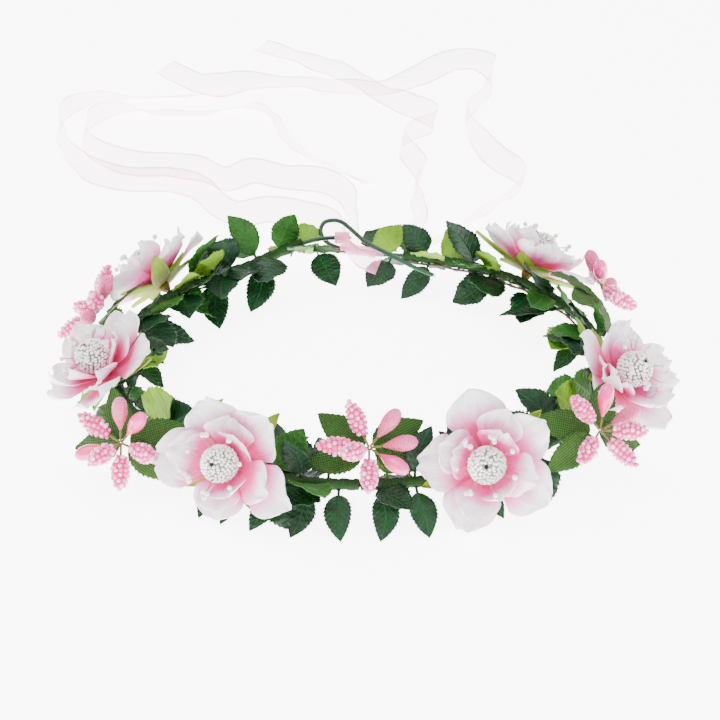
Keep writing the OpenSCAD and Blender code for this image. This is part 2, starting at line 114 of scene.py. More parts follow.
def solids(name):
    """The vertices of each separate solid of a node."""
    places, triangles = welded(name)
    label = np.arange(len(places))
    settled = False
    while not settled:
        lower = label.copy()
        np.minimum.at(lower, triangles.ravel(), np.repeat(label[triangles].min(axis=1), 3))
        settled = bool((lower == label).all())
        label = lower
    return [places[label == k] for k in np.unique(label)]


def rings(name, start, size):
    """The rings of vertices of a swept bar, ring by ring, from the end nearest to start."""
    places, triangles = welded(name)
    links = [set() for _ in places]
    for a, b, c in triangles:
        links[a].update((b, c))
        links[b].update((a, c))
        links[c].update((a, b))
    ring = set(np.argsort(np.linalg.norm(places - start, axis=1))[:size].tolist())
    seen = set()
    found = []
    while ring:
        found.append(places[sorted(ring)])
        seen |= ring
        ring = {n for v in ring for n in links[v]} - seen
    return found


def spine(name, start, size):
    """The middle line of a swept bar."""
    return np.array([ring.mean(axis=0) for ring in rings(name, start, size)])


def middle(name):
    """The middle of a node's box."""
    low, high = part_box(name)
    return (np.array(low) + np.array(high)) / 2


def resample(points, step):
    """Points spaced evenly, about step apart, on a smooth curve through the given rows."""
    points = np.asarray(points, dtype=float)
    padded = np.vstack([2 * points[0] - points[1], points, 2 * points[-1] - points[-2]])
    fine = []
    for a, b, c, d in zip(padded, padded[1:], padded[2:], padded[3:]):
        t = np.linspace(0, 1, 12, endpoint=False)[:, None]
        square = 2 * a - 5 * b + 4 * c - d
        cube = 3 * b - a - 3 * c + d
        fine.append(0.5 * (2 * b + (c - a) * t + square * t**2 + cube * t**3))
    fine = np.vstack(fine + [points[-1:]])
    run = np.append(0, np.cumsum(np.linalg.norm(np.diff(fine[:, :3], axis=0), axis=1)))
    at = np.linspace(0, run[-1], max(3, int(round(run[-1] / step)) + 1))
    return np.column_stack([np.interp(at, run, column) for column in fine.T])


# Meshes


class Gather:
    """Vertices, faces, grain coordinates and material numbers, gathered into one mesh."""

    def __init__(self):
        self.verts, self.faces, self.grain, self.slots, self.count = [], [], [], [], 0

    def add(self, verts, faces, grain, slot=0):
        """Add a shape. faces is an array of rows of 3 or 4 numbers of its own vertices."""
        faces = np.asarray(faces)
        self.verts.append(np.asarray(verts, dtype=float))
        self.grain.append(np.asarray(grain, dtype=float))
        self.faces.extend((faces + self.count).tolist())
        self.slots.extend([slot] * len(faces))
        self.count += len(verts)

    def make(self, name, body, materials, replaced=(), thickness=0.0):
        """Make the object, give it its finish and set it on its body."""
        mesh = bpy.data.meshes.new(name)
        mesh.from_pydata(np.vstack(self.verts).tolist(), [], self.faces)
        for finish in materials:
            mesh.materials.append(finish)
        mesh.polygons.foreach_set("material_index", self.slots)
        mesh.polygons.foreach_set("use_smooth", [True] * len(self.faces))
        index = np.empty(len(mesh.loops), dtype=np.int32)
        mesh.loops.foreach_get("vertex_index", index)
        grain = np.vstack(self.grain)[index]
        mesh.uv_layers.new(name="grain").data.foreach_set("uv", grain.ravel())
        mesh.update()
        piece = bpy.data.objects.new(name, mesh)
        bpy.context.scene.collection.objects.link(piece)
        if thickness:
            shell = piece.modifiers.new("cloth thickness", "SOLIDIFY")
            shell.thickness = thickness
            shell.offset = 0
        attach(piece, body)
        if replaced:
            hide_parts(*replaced)
        return piece


def grid_faces(rows, columns, closed=False):
    """Quads that join a grid of rows by columns; closed also joins the last column to the first."""
    last = columns if closed else columns - 1
    r, c = np.meshgrid(np.arange(rows - 1), np.arange(last), indexing="ij")
    a = (r * columns + c).ravel()
    b = (r * columns + (c + 1) % columns).ravel()
    return np.column_stack([a, b, b + columns, a + columns])


def tube(gather, line, radii, sides=12, slot=0, grain_u=0.0, capped=True):
    """A bar along a line. radii is one radius, one for each point, or one for each point and side."""
    line = np.asarray(line)
    radii = np.asarray(radii, dtype=float)
    radii = np.broadcast_to(radii[:, None] if radii.ndim == 1 else radii, (len(line), sides))
    along = unit(np.gradient(line, axis=0))
    side, over = across_and_over(along, NEARLY_UP)
    turn = np.linspace(0, 2 * np.pi, sides, endpoint=False)
    ring = np.cos(turn)[None, :, None] * side[:, None] + np.sin(turn)[None, :, None] * over[:, None]
    verts = (line[:, None] + radii[:, :, None] * ring).reshape(-1, 3)
    run = np.append(0, np.cumsum(np.linalg.norm(np.diff(line, axis=0), axis=1)))
    grain = np.column_stack([np.tile(turn / (2 * np.pi) + grain_u, len(line)), np.repeat(run, sides)])
    gather.add(verts, grid_faces(len(line), sides, closed=True)[:, ::-1], grain, slot)
    if capped:
        for row, sign in ((0, -1), (len(line) - 1, 1)):
            rim = verts[row * sides : (row + 1) * sides]
            tip = line[row] + sign * along[row] * radii[row, 0] * CAP_RISE
            fan = np.array([[k, (k + 1) % sides, sides] for k in range(sides)])
            faces = fan if sign < 0 else fan[:, ::-1]
            grain = np.tile([grain_u, run[row]], (sides + 1, 1))
            gather.add(np.vstack([rim, tip]), faces, grain, slot)


def turned_shape(gather, start, along, heights, radii, sides, slot=0, grain_u=0.0):
    """A shape of revolution that stands on start; heights and radii are lists along it."""
    line = start + np.outer(heights, along)
    tube(gather, line, np.asarray(radii), sides, slot, grain_u, capped=False)


def unit_sphere(detail):
    """Vertices and triangles of a sphere of radius one, with its triangles split detail times."""
    mesh = bpy.data.meshes.new("bead")
    shape = bmesh.new()
    bmesh.ops.create_icosphere(shape, subdivisions=detail, radius=1.0)
    shape.to_mesh(mesh)
    shape.free()
    verts = np.array([v.co[:] for v in mesh.vertices])
    faces = np.array([p.vertices[:] for p in mesh.polygons])
    bpy.data.meshes.remove(mesh)
    return verts, faces


def beads(gather, centres, radii, ball, slot=0):
    """Small balls at the centres given; each keeps one grain coordinate, so it can have its own tint."""
    verts, faces = ball
    for number, (centre, radius) in enumerate(zip(centres, radii)):
        tint = np.tile([(number * 0.618) % 1, (number * 0.367) % 1], (len(verts), 1))
        gather.add(centre + radius * verts, faces, tint, slot)


# Materials


class Finish:
    """A node material on one Principled shader, with short ways to add and join its nodes."""

    def __init__(self, name, **values):
        self.material = bpy.data.materials.new(name)
        self.material.use_nodes = True
        self.tree = self.material.node_tree
        self.shader = self.tree.nodes["Principled BSDF"]
        for key, value in values.items():
            self.shader.inputs[key.replace("_", " ")].default_value = value

    def node(self, kind, inputs=None, **settings):
        """Add a node; inputs maps its sockets to values or to other nodes' outputs."""
        made = self.tree.nodes.new("ShaderNode" + kind)
        for key, value in settings.items():
            setattr(made, key, value)
        for key, value in (inputs or {}).items():
            if isinstance(value, bpy.types.NodeSocket):
                self.tree.links.new(value, made.inputs[key])
            else:
                made.inputs[key].default_value = value
        return made

    def math(self, operation, a, b=0.0):
        """One step of arithmetic."""
        return self.node("Math", {0: a, 1: b}, operation=operation).outputs[0]

    def plus(self, a, b):
        """One value added to another."""
        return self.math("ADD", a, b)

    def minus(self, a, b):
        """One value taken from another."""
        return self.math("SUBTRACT", a, b)

    def times(self, a, b):
        """Two values multiplied."""
        return self.math("MULTIPLY", a, b)

    def ridges(self, value):
        """Even ridges that follow one another as the value grows."""
        return self.math("ABSOLUTE", self.math("SINE", value))

    def between(self, value, zero, one):
        """Where a value stands between the values that count as zero and as one."""
        return self.node("MapRange", {0: value, 1: zero, 2: one}).outputs[0]

    def soften(self, weight, reach):
        """Let light into the surface; reach is how far its red, green and blue go, in metres."""
        for key, value in (("Weight", weight), ("Radius", reach), ("Scale", 1.0)):
            self.shader.inputs["Subsurface " + key].default_value = value

    def grain(self):
        """The piece's own grain coordinates, as u and v."""
        split = self.node("SeparateXYZ", {0: self.node("UVMap", uv_map="grain").outputs[0]})
        return split.outputs[0], split.outputs[1]

    def place(self):
        """Coordinates in the crown's own frame."""
        return self.node("TexCoord").outputs["Object"]

    def noise(self, vector, scale, detail=2.0, rough=0.5):
        """A soft random pattern."""
        inputs = {"Vector": vector, "Scale": scale, "Detail": detail, "Roughness": rough}
        return self.node("TexNoise", inputs).outputs["Fac"]

    def weave(self, scale, distortion=0.0):
        """Fine bands, like the threads of cloth."""
        inputs = {"Vector": self.place(), "Scale": scale, "Distortion": distortion}
        return self.node("TexWave", inputs, wave_type="BANDS").outputs[1]

    def ramp(self, value, stops):
        """Colours set at places from 0 to 1."""
        made = self.node("ValToRGB", {0: value})
        band = made.color_ramp
        while len(band.elements) < len(stops):
            band.elements.new(0.5)
        for element, (at, colour) in zip(band.elements, stops):
            element.position = at
            element.color = (*colour[:3], 1.0)
        return made.outputs[0]

    def mix(self, share, a, b, kind="MIX"):
        """Two colours mixed by a share."""
        made = self.node("Mix", data_type="RGBA", blend_type=kind, clamp_factor=True)
        for socket, value in zip((made.inputs[0], made.inputs[6], made.inputs[7]), (share, a, b)):
            if isinstance(value, bpy.types.NodeSocket):
                self.tree.links.new(value, socket)
            else:
                socket.default_value = value if isinstance(value, float) else (*value[:3], 1.0)
        return made.outputs[2]

    def bump(self, height, strength, distance):
        """A bump over any bump already on the shader."""
        made = self.node("Bump", {"Height": height, "Strength": strength, "Distance": distance})
        before = self.shader.inputs["Normal"].links
        if before:
            self.tree.links.new(before[0].from_socket, made.inputs["Normal"])
        self.tree.links.new(made.outputs[0], self.shader.inputs["Normal"])

    def drive(self, socket, value):
        """Join a value to one of the shader's sockets."""
        self.tree.links.new(value, self.shader.inputs[socket])
        return self


def tinted(colour, factor):
    """A colour made lighter or darker."""
    return tuple(min(1.0, c * factor) for c in colour[:3])


def petal_finish(name, colours, pink_to, white_from):
    """Thin dyed cloth, pink at the root and white at the rim, with a painted rim highlight and outward
    creases.
    """
    f = Finish(name, Roughness=0.72, Sheen_Weight=0.08, Sheen_Roughness=0.4)
    f.soften(0.18, (0.0022, 0.0016, 0.0018))
    u, v = f.grain()
    fibre = f.node("CombineXYZ", {0: f.times(u, 15.0), 1: f.times(v, 0.9)}).outputs[0]
    streak = f.noise(fibre, 2.2, 3.0, 0.6)
    cloud = f.noise(f.place(), 140.0, 2.0)
    dye = f.plus(v, f.times(f.minus(streak, 0.5), 0.26))
    dye = f.plus(dye, f.times(f.minus(cloud, 0.5), 0.22))
    stops = [
        (0.0, colours.petal_deep),
        (pink_to, colours.petal_pink),
        ((pink_to + white_from) / 2, colours.petal_pale),
        (white_from, colours.petal_white),
    ]
    colour = f.ramp(dye, stops)
    # The brighter band at the very rim is a painted highlight, whiter than the petals' own white.
    rim = f.between(v, 0.90, 0.98)
    f.drive("Base Color", f.mix(rim, colour, colours.petal_rim_highlight))
    weave = f.weave(900.0, 1.5)
    f.bump(streak, 0.55, 0.0009)
    f.bump(weave, 0.12, 0.0002)
    f.drive("Roughness", f.plus(f.times(streak, 0.2), 0.6))
    return f.material


def leaf_finish(name, colour, vein, gloss):
    """Printed satin cloth with a pressed midrib and side veins."""
    f = Finish(name, Roughness=gloss, Specular_IOR_Level=0.24)
    f.soften(0.06, (0.0008, 0.0016, 0.0005))
    u, v = f.grain()
    away = f.math("ABSOLUTE", f.minus(f.math("FRACT", u), 0.5))
    rib = f.minus(1.0, f.between(away, 0.0, 0.045))
    slant = f.minus(f.times(v, 8.0), f.times(away, 5.0))
    near = f.math("ABSOLUTE", f.minus(f.math("FRACT", slant), 0.5))
    side = f.minus(1.0, f.between(near, 0.0, 0.16))
    veins = f.math("MAXIMUM", rib, f.times(side, 0.6))
    cloud = f.noise(f.place(), 90.0, 3.0)
    body = f.ramp(cloud, [(0.3, tinted(colour, 0.6)), (0.5, colour), (0.75, tinted(colour, 1.5))])
    f.drive("Base Color", f.mix(f.times(veins, 0.45), body, vein))
    weave = f.weave(1100.0)
    f.bump(veins, 0.5, 0.0006)
    f.bump(weave, 0.15, 0.0002)
    f.drive("Roughness", f.plus(f.times(cloud, 0.25), gloss - 0.1))
    return f.material


def sepal_finish(name, colour, root):
    """Thin ribbed cloth that is browner towards its root."""
    f = Finish(name, Roughness=0.6, Specular_IOR_Level=0.25)
    u, v = f.grain()
    ribs = f.ridges(f.times(u, 55.0))
    cloud = f.noise(f.place(), 160.0, 3.0)
    shade = f.plus(f.times(ribs, 0.35), f.times(cloud, 0.65))
    body = f.ramp(shade, [(0.25, tinted(colour, 0.7)), (0.5, colour), (0.8, tinted(colour, 1.5))])
    near_root = f.between(f.math("FRACT", v), 0.27, 0.0)
    f.drive("Base Color", f.mix(near_root, body, root))
    f.bump(ribs, 0.4, 0.0004)
    return f.material


def net_finish(name, colour, light):
    """Coarse net cloth: two crossing rows of threads."""
    f = Finish(name, Roughness=0.7, Specular_IOR_Level=0.2)
    u, v = f.grain()
    rows = f.ridges(f.times(v, 88.0))
    lines = f.ridges(f.times(u, 44.0))
    threads = f.math("MAXIMUM", f.math("POWER", rows, 2.0), f.math("POWER", lines, 2.0))
    cloud = f.noise(f.place(), 120.0, 2.0)
    shade = f.plus(f.times(threads, 0.75), f.times(cloud, 0.3))
    f.drive("Base Color", f.ramp(shade, [(0.15, tinted(colour, 0.5)), (0.55, colour), (1.0, light)]))
    f.bump(threads, 0.7, 0.0004)
    return f.material


def plastic_finish(name, colour, roughness, mottled=0.25, scale=300.0):
    """Plastic with faint mottling and scuffs."""
    f = Finish(name, Roughness=roughness, Specular_IOR_Level=0.3, Coat_Weight=0.05, Coat_Roughness=0.3)
    cloud = f.noise(f.place(), scale, 4.0, 0.6)
    stops = [(0.25, tinted(colour, 1 - mottled)), (0.55, colour), (0.8, tinted(colour, 1 + mottled))]
    f.drive("Base Color", f.ramp(cloud, stops))
    f.drive("Roughness", f.plus(f.times(cloud, 0.25), roughness - 0.12))
    f.bump(f.noise(f.place(), scale * 4, 2.0), 0.12, 0.0002)
    return f.material


def tape_finish(name, colour):
    """Crepe tape: fine cross ribs along a waxy strip."""
    f = Finish(name, Roughness=0.8, Specular_IOR_Level=0.25)
    u, v = f.grain()
    ribs = f.ridges(f.plus(f.times(v, 5200.0), f.times(u, 9.0)))
    cloud = f.noise(f.place(), 220.0, 3.0)
    shade = f.plus(f.times(ribs, 0.3), f.times(cloud, 0.7))
    stops = [(0.2, tinted(colour, 0.55)), (0.5, colour), (0.85, tinted(colour, 1.7))]
    f.drive("Base Color", f.ramp(shade, stops))
    f.bump(ribs, 0.5, 0.0003)
    return f.material


def bead_finish(name, colour, glint, metal, roughness, sss=0.0):
    """Small beads, each with a tint of its own."""
    f = Finish(name, Roughness=roughness, Metallic=metal, Coat_Weight=0.6, Coat_Roughness=0.06)
    f.soften(sss, (0.0012, 0.0006, 0.0007))
    u, v = f.grain()
    f.drive("Base Color", f.ramp(u, [(0.0, tinted(colour, 0.82)), (0.45, colour), (1.0, glint)]))
    f.drive("Roughness", f.plus(f.times(v, 0.12), roughness - 0.05))
    return f.material


def bud_finish(name, colours, frosted):
    """Glossy resin that is deeper at the stalk, or the same under fine sugar crystals."""
    roughness, coat = (0.55, 0.2) if frosted else (0.24, 0.8)
    f = Finish(name, Roughness=roughness, Coat_Weight=coat, Coat_Roughness=0.12)
    f.soften(0.15, (0.002, 0.0007, 0.0009))
    v = f.grain()[1]
    cloud = f.noise(f.place(), 260.0, 3.0)
    shade = f.plus(f.times(v, 48.0), f.times(f.minus(cloud, 0.5), 0.5))
    stops = [(0.1, colours.bud_deep), (0.55, colours.bud_pink), (0.95, colours.bud_tip)]
    colour = f.ramp(shade, stops)
    if frosted:
        crystal = f.node("TexVoronoi", {"Vector": f.place(), "Scale": 1900.0}).outputs["Distance"]
        sugar = f.between(crystal, 0.55, 0.1)
        colour = f.mix(f.times(sugar, 0.75), colour, (0.95, 0.80, 0.84))
        f.bump(sugar, 1.0, 0.0006)
    f.drive("Base Color", colour)
    return f.material


def organza_finish(name, colour, edge, body_alpha, glow=0.0):
    """Sheer woven ribbon, denser along its two edges; glow stands for light that comes through it."""
    f = Finish(name, Roughness=0.55, Sheen_Weight=0.4, Sheen_Roughness=0.3,
               Emission_Color=(*colour[:3], 1.0), Emission_Strength=glow)
    u, v = f.grain()
    off = f.math("ABSOLUTE", f.minus(u, 0.5))
    selvage = f.between(off, 0.42, 0.47)
    warp = f.ridges(f.times(u, 75.0))
    weft = f.ridges(f.times(v, 5200.0))
    threads = f.math("MAXIMUM", warp, weft)
    cloud = f.noise(f.place(), 60.0, 2.0)
    cover = f.plus(f.times(threads, 0.12), f.times(cloud, 0.12))
    cover = f.plus(cover, body_alpha - 0.12)
    cover = f.plus(cover, f.times(selvage, 0.4))
    f.drive("Alpha", f.math("MINIMUM", cover, 1.0))
    f.drive("Base Color", f.mix(selvage, colour, edge))
    f.bump(threads, 0.2, 0.0002)
    return f.material


# Settings


def colour_setting(name, description, default):
    """A colour property."""
    return FloatVectorProperty(
        name=name, description=description, default=default, subtype="COLOR", size=3, min=0.0, max=1.0
    )


def size_setting(name, description, default, low, high):
    """A length property, in metres."""
    return FloatProperty(
        name=name, description=description, default=default, min=low, max=high,
        subtype="DISTANCE", unit="LENGTH",
    )


def count_setting(name, description, default, low, high):
    """A whole number property."""
    return IntProperty(name=name, description=description, default=default, min=low, max=high)


class CrownSizes(PropertyGroup):
    """Sizes and counts that the frame doesn't set."""

    seed: count_setting("Seed", "Start of the random shapes", 11, 0, 999)
    teeth: count_setting("Leaf teeth", "Teeth along one edge of a leaf", 11, 5, 16)
    leaf_fold: FloatProperty(
        name="Leaf fold", description="How far a leaf folds at its midrib", default=0.22
    )
    cloth: size_setting("Leaf cloth", "Thickness of leaf cloth", 0.3 * MM, 0.1 * MM, 0.8 * MM)
    ruffle: size_setting("Petal ruffle", "Height of ruffles on a petal's rim", 1.7 * MM, 0.0, 3 * MM)
    petal_cloth: size_setting(
        "Petal cloth", "Thickness of petal cloth", 0.22 * MM, 0.1 * MM, 0.6 * MM
    )
    ball_beads: count_setting("Ball beads", "Beads on one ball", 290, 100, 900)
    ball_bead: size_setting(
        "Ball bead", "Radius of a bead on a ball", 0.68 * MM, 0.3 * MM, 1.0 * MM
    )
    pearl: size_setting("Pearl", "Radius of the pearl on a stamen", 1.0 * MM, 0.5 * MM, 1.6 * MM)
    spike_bead: size_setting(
        "Spike bead", "Radius of a bead on a spike", 0.86 * MM, 0.4 * MM, 1.4 * MM
    )
    tape_pitch: size_setting(
        "Tape pitch", "Distance from turn to turn of the tape", 5 * MM, 2 * MM, 12 * MM
    )
    flutter: size_setting(
        "Ribbon flutter", "Height of the small waves in the ribbon", 0.8 * MM, 0.0, 3 * MM
    )


class CrownColours(PropertyGroup):
    """Colours of the crown and its stage."""

    leaf_dark: colour_setting("Dark leaf", "Most of the leaves", (0.0026, 0.0230, 0.0064))
    leaf_mid: colour_setting("Green leaf", "Middle green leaves", (0.0140, 0.0780, 0.0060))
    leaf_lime: colour_setting("Lime leaf", "Bright leaves", (0.1350, 0.2650, 0.0120))
    leaf_net: colour_setting("Net leaf", "Leaves of coarse net", (0.0150, 0.0460, 0.0060))
    sepal: colour_setting("Sepal", "Sepals behind the petals", (0.210, 0.300, 0.015))
    sepal_root: colour_setting("Sepal root", "Sepals at the stem", (0.130, 0.080, 0.010))
    # Painted highlight: the brighter white on the very edge of the petals.
    petal_rim_highlight: colour_setting("Petal rim highlight", "The very edge of the petals", (0.985, 0.975, 0.985))
    petal_white: colour_setting("Petal white", "Outer part of the petals", (0.940, 0.895, 0.940))
    petal_pale: colour_setting("Petal blush", "Between the rim and the pink", (0.930, 0.400, 0.660))
    petal_pink: colour_setting("Petal pink", "Inner part of the petals", (0.900, 0.060, 0.300))
    petal_deep: colour_setting("Petal root", "Root of the petals", (0.780, 0.030, 0.150))
    bud_deep: colour_setting("Bud stalk end", "Buds at the stalk", (0.740, 0.012, 0.150))
    bud_pink: colour_setting("Bud", "Buds", (0.860, 0.036, 0.290))
    bud_tip: colour_setting("Bud tip", "Buds at the tip", (0.930, 0.190, 0.480))
    spike_core: colour_setting("Spike core", "Under the beads of a spike", (0.800, 0.008, 0.190))
    spike_bead: colour_setting("Spike bead", "Pale beads of a spike", (0.930, 0.120, 0.430))
    silver: colour_setting("Ball bead", "Beads of the blossoms' balls", (0.800, 0.785, 0.750))
    pearl: colour_setting("Pearl", "Pearls of the stamens", (0.880, 0.840, 0.780))
    thread: colour_setting("Thread", "Threads of the stamens", (0.420, 0.150, 0.120))
    sleeve: colour_setting("Wire sleeve", "Green sleeve of the wire and hook", (0.0020, 0.0400, 0.0120))
    tape: colour_setting("Floral tape", "Tape wound over the wire", (0.0070, 0.0330, 0.0040))
    vine: colour_setting("Vine", "Stem beside the tape", (0.060, 0.045, 0.022))
    ribbon: colour_setting("Ribbon", "Sheer ribbon", (0.940, 0.480, 0.680))
    ribbon_layered: colour_setting("Layered ribbon", "Ribbon that lies double", (0.950, 0.330, 0.560))
    ribbon_edge: colour_setting("Ribbon edge", "Woven edges of the ribbon", (0.900, 0.240, 0.480))
    floor: colour_setting("Floor", "Table under the crown", (0.930, 0.930, 0.930))


def sizes():
    """The scene's size settings."""
    return bpy.context.scene.crown_sizes


def colours():
    """The scene's colour settings."""
    return bpy.context.scene.crown_colours


# Wires


# How far from the hinge's axis the search for a bar's front end starts.
FRONT_GAP = 0.4 * MM
SLEEVE_STEP = 0.8 * MM
TAPE_STEP = 0.5 * MM
TAPE_RADIUS = 1.92 * MM
TAPE_LAP = 0.32 * MM
TAPE_ROUGH = 0.05 * MM
TAPE_SIDES = 20
VINE_RADIUS = 0.5 * MM
VINE_KNUCKLE = 0.28 * MM
VINE_ROUGH = 0.03 * MM
VINE_WAVE = 0.25 * MM
KNUCKLE_STEPS = 9


def ring_start(side):
    """Where a half's bars start at the front; side is 1 for the right and -1 for the left."""
    return np.array([side * FRONT_GAP, -RING_R, RING_Z])


def wire_line(half):
    """The middle line of one half's wire."""
    word, side = ("right", 1) if half == RIGHT else ("left", -1)
    return spine("core_wire_" + word, ring_start(side), CORE_CORNERS)


def covered_wire(half, cover, reach, step):
    """The stretch of a half's wire that has a node within reach round it, in even steps."""
    wire = wire_line(half)
    places, _ = welded(cover)
    gaps = np.linalg.norm(wire[:, None] - places[None], axis=2).min(axis=1)
    return resample(wire[gaps < reach], step)


def bar_radius(name, line):
    """The outer radius of a swept node round its middle line."""
    places, _ = welded(name)
    apart = np.linalg.norm(places[:, None] - line[None], axis=2).min(axis=1)
    return float(np.median(apart))


class CROWN_OT_wires(Operator):
    """Build the green sleeved wires with their long hook"""

    bl_idname = "crown.wires"
    bl_label = "Wires"

    def execute(self, context):
        sleeve = plastic_finish("sleeve plastic", colours().sleeve, 0.3, 0.35, 260.0)
        steel = plastic_finish("wire steel", (0.42, 0.42, 0.40), 0.35, 0.2, 500.0)
        steel.node_tree.nodes["Principled BSDF"].inputs["Metallic"].default_value = 0.9
        hook_radius = bar_radius("wire_sleeve_left", wire_line(LEFT))
        for half, name, replaced in (
            (RIGHT, "sleeve_right", ("wire_sleeve_right", "closure_hook")),
            (LEFT, "sleeve_left", ("wire_sleeve_left",)),
        ):
            line = resample(wire_line(half), SLEEVE_STEP)[:-1]
            gather = Gather()
            tube(gather, line, hook_radius, 18)
            gather.make(name, half, [sleeve], replaced)
        for name in ("core_wire_right", "core_wire_left"):
            paint_frame_node(name, steel)
        return {"FINISHED"}


def paint_frame_node(name, finish):
    """Give a node that stays as it is its material."""
    mesh = frame["nodes"][name].data
    mesh.materials.clear()
    mesh.materials.append(finish)


class CROWN_OT_tape(Operator):
    """Build the tape wound over the wires and the vine stem beside it"""

    bl_idname = "crown.tape"
    bl_label = "Tape and vine"

    def execute(self, context):
        tape = tape_finish("floral tape", colours().tape)
        vine = plastic_finish("vine", colours().vine, 0.6, 0.5, 240.0)
        rng = np.random.default_rng(sizes().seed)
        for half, word, side in HALVES:
            line = covered_wire(half, "floral_tape_" + word, 1.7 * MM, TAPE_STEP)
            run = np.arange(len(line)) * TAPE_STEP
            turn = np.linspace(0, 1, TAPE_SIDES, endpoint=False)
            step = (run[:, None] / sizes().tape_pitch + side * turn[None]) % 1
            rough = TAPE_ROUGH * rng.normal(size=(len(line), TAPE_SIDES))
            lap = TAPE_LAP * smoothstep(step, 0.0, 0.9) * (1 - smoothstep(step, 0.93, 1.0))
            gather = Gather()
            tube(gather, line, TAPE_RADIUS + lap + rough, TAPE_SIDES)
            gather.make("tape_" + word, half, [tape], ("floral_tape_" + word,))
            self.vine(word, half, side, vine, rng)
        for name in ("blossom_stems_right", "blossom_stems_left"):
            paint_frame_node(name, tape)
        return {"FINISHED"}

    def vine(self, word, half, side, finish, rng):
        """One half's vine stem, with a knuckle where each leaf leaves it."""
        line = resample(spine("vine_stem_" + word, ring_start(side), VINE_CORNERS), 1.0 * MM)
        number = np.arange(len(line))
        knuckle = np.exp(-(((number % KNUCKLE_STEPS) - KNUCKLE_STEPS / 2) ** 2) / 1.5)
        line[:, 2] += VINE_WAVE * np.sin(number * 0.45)
        radius = VINE_RADIUS + VINE_KNUCKLE * knuckle + VINE_ROUGH * rng.normal(size=len(line))
        gather = Gather()
        tube(gather, line, radius, 8)
        gather.make("vine_" + word, half, [finish], ("vine_stem_" + word,))


# Leaves

# How strongly a leaf bows for the mean bow of the points nearest to its midrib.
BOW_SHARE = 2.6
# How a leaf's half width swells and narrows from root to tip.
LEAF_SWELL, LEAF_ROOT_POWER, LEAF_TIP_POWER = 2.70, 0.58, 0.95
TOOTH_DEPTH = 0.055
LOWEST_LEAF = 0.25 * MM
STALK_RADIUS = 0.4 * MM
# How often the leaves are dark, green and lime.
LEAF_SHARES = (0.50, 0.30, 0.20)


def leaf_frame(points):
    """Root, tip, side, top, bow and half width of the leaf that a solid of the frame stands for."""
    flat = np.hypot(points[:, 0], points[:, 1])
    away = np.hypot(flat - RING_R, points[:, 2] - RING_Z)
    root = points[np.argmin(away)]
    tip = points[np.argmax(np.linalg.norm(points - root, axis=1))]
    return blade_frame(points, root, tip)


def net_leaf_frame(points):
    """The same, for a leaf whose root is the single point at its narrow thick end."""
    middle_line = points - points.mean(axis=0)
    chord = np.linalg.svd(middle_line, full_matrices=False)[2][0]
    order = np.argsort(middle_line @ chord)
    ends = points[order[0]], points[order[-1]]
    near = [np.sort(np.linalg.norm(points - end, axis=1))[1:5].mean() for end in ends]
    root, tip = ends if near[0] < near[1] else ends[::-1]
    return blade_frame(points, root, tip)


def blade_frame(points, root, tip):
    """Root, tip, side, top, bow and half width of a blade that runs from root to tip."""
    chord = unit(tip - root)
    spread = points - points.mean(axis=0)
    spread = spread - np.outer(spread @ chord, chord)
    side = np.linalg.svd(spread, full_matrices=False)[2][0]
    top = unit(np.cross(chord, side))
    off_midrib = np.abs((points - root) @ side)
    bow = ((points - root) @ top)[np.argsort(off_midrib)[:8]].mean()
    if bow < 0:
        top, side = -top, -side
    return root, tip, side, top, abs(bow) * BOW_SHARE, off_midrib.max()


def leaf_outline(teeth):
    """Where rows lie along a leaf and its half width there, with teeth that point to the tip."""
    steps = (np.arange(teeth * 3) // 3 + np.tile([0, 0.55, 0.94], teeth)) / teeth
    along = np.concatenate([[0.0, 0.02], 0.05 + 0.93 * steps, [1.0]])
    half = LEAF_SWELL * along**LEAF_ROOT_POWER * np.maximum(1 - along, 0) ** LEAF_TIP_POWER
    tooth = np.concatenate([[0, 0], np.tile([-TOOTH_DEPTH, 0.0, TOOTH_DEPTH], teeth), [0]])
    return along, half * (1 + tooth)


def add_leaf(gather, leaf, rng, slot, teeth, fold, loose=1.0):
    """One serrated leaf blade; loose is how freely it curls, twists and bends to one side."""
    root, tip, side, top, bow, half_width = leaf
    along, half = leaf_outline(teeth)
    across = np.array([-1, -0.7, -0.35, 0, 0.35, 0.7, 1.0])
    s, t = np.meshgrid(across, along)
    width = half_width * half[:, None]
    length = np.linalg.norm(tip - root)
    fold = fold * rng.uniform(-0.6, 1.6)
    curl = loose * rng.uniform(-0.10, 0.16) * length
    twist = loose * rng.uniform(-0.5, 0.5)
    rise = bow * (t - t * t) + curl * (t**3 - t)
    rise += fold * np.abs(s) * width + twist * s * width * (t - 0.3)
    rise += 0.05 * half_width * np.abs(s) ** 2 * np.sin(2 * np.pi * (3.0 * t + rng.random()))
    rise += 0.02 * half_width * np.cos(2 * np.pi * (8 * t - 2.5 * np.abs(s))) * (np.abs(s) > 0.1)
    bend = loose * rng.uniform(-0.08, 0.08) * length * np.sin(np.pi * t)
    verts = (
        root
        + t[..., None] * (tip - root)
        + (s * width + bend)[..., None] * side
        + rise[..., None] * top
    ).reshape(-1, 3)
    verts[:, 2] = np.maximum(verts[:, 2], LOWEST_LEAF)
    shift = float(rng.integers(0, 50))
    grain = np.column_stack([(s * half[:, None] * 0.5 + 0.5).ravel(), (t + 2 * shift).ravel()])
    gather.add(verts, grid_faces(len(along), len(across)), grain, slot)


def add_stalk(gather, root, tip, radius, slot):
    """The short stalk from the tape to a leaf."""
    wire = unit(root * np.array([1, 1, 0])) * RING_R + UP * RING_Z
    start = wire - unit(wire - root) * 2.0 * MM
    bend = root + 0.3 * unit(tip - root) * np.linalg.norm(root - start)
    path = [start, (start + root) / 2 + 0.1 * (bend - root), root + 0.06 * (tip - root)]
    tube(gather, resample(path, 0.8 * MM), radius, 6, slot, 0.5)


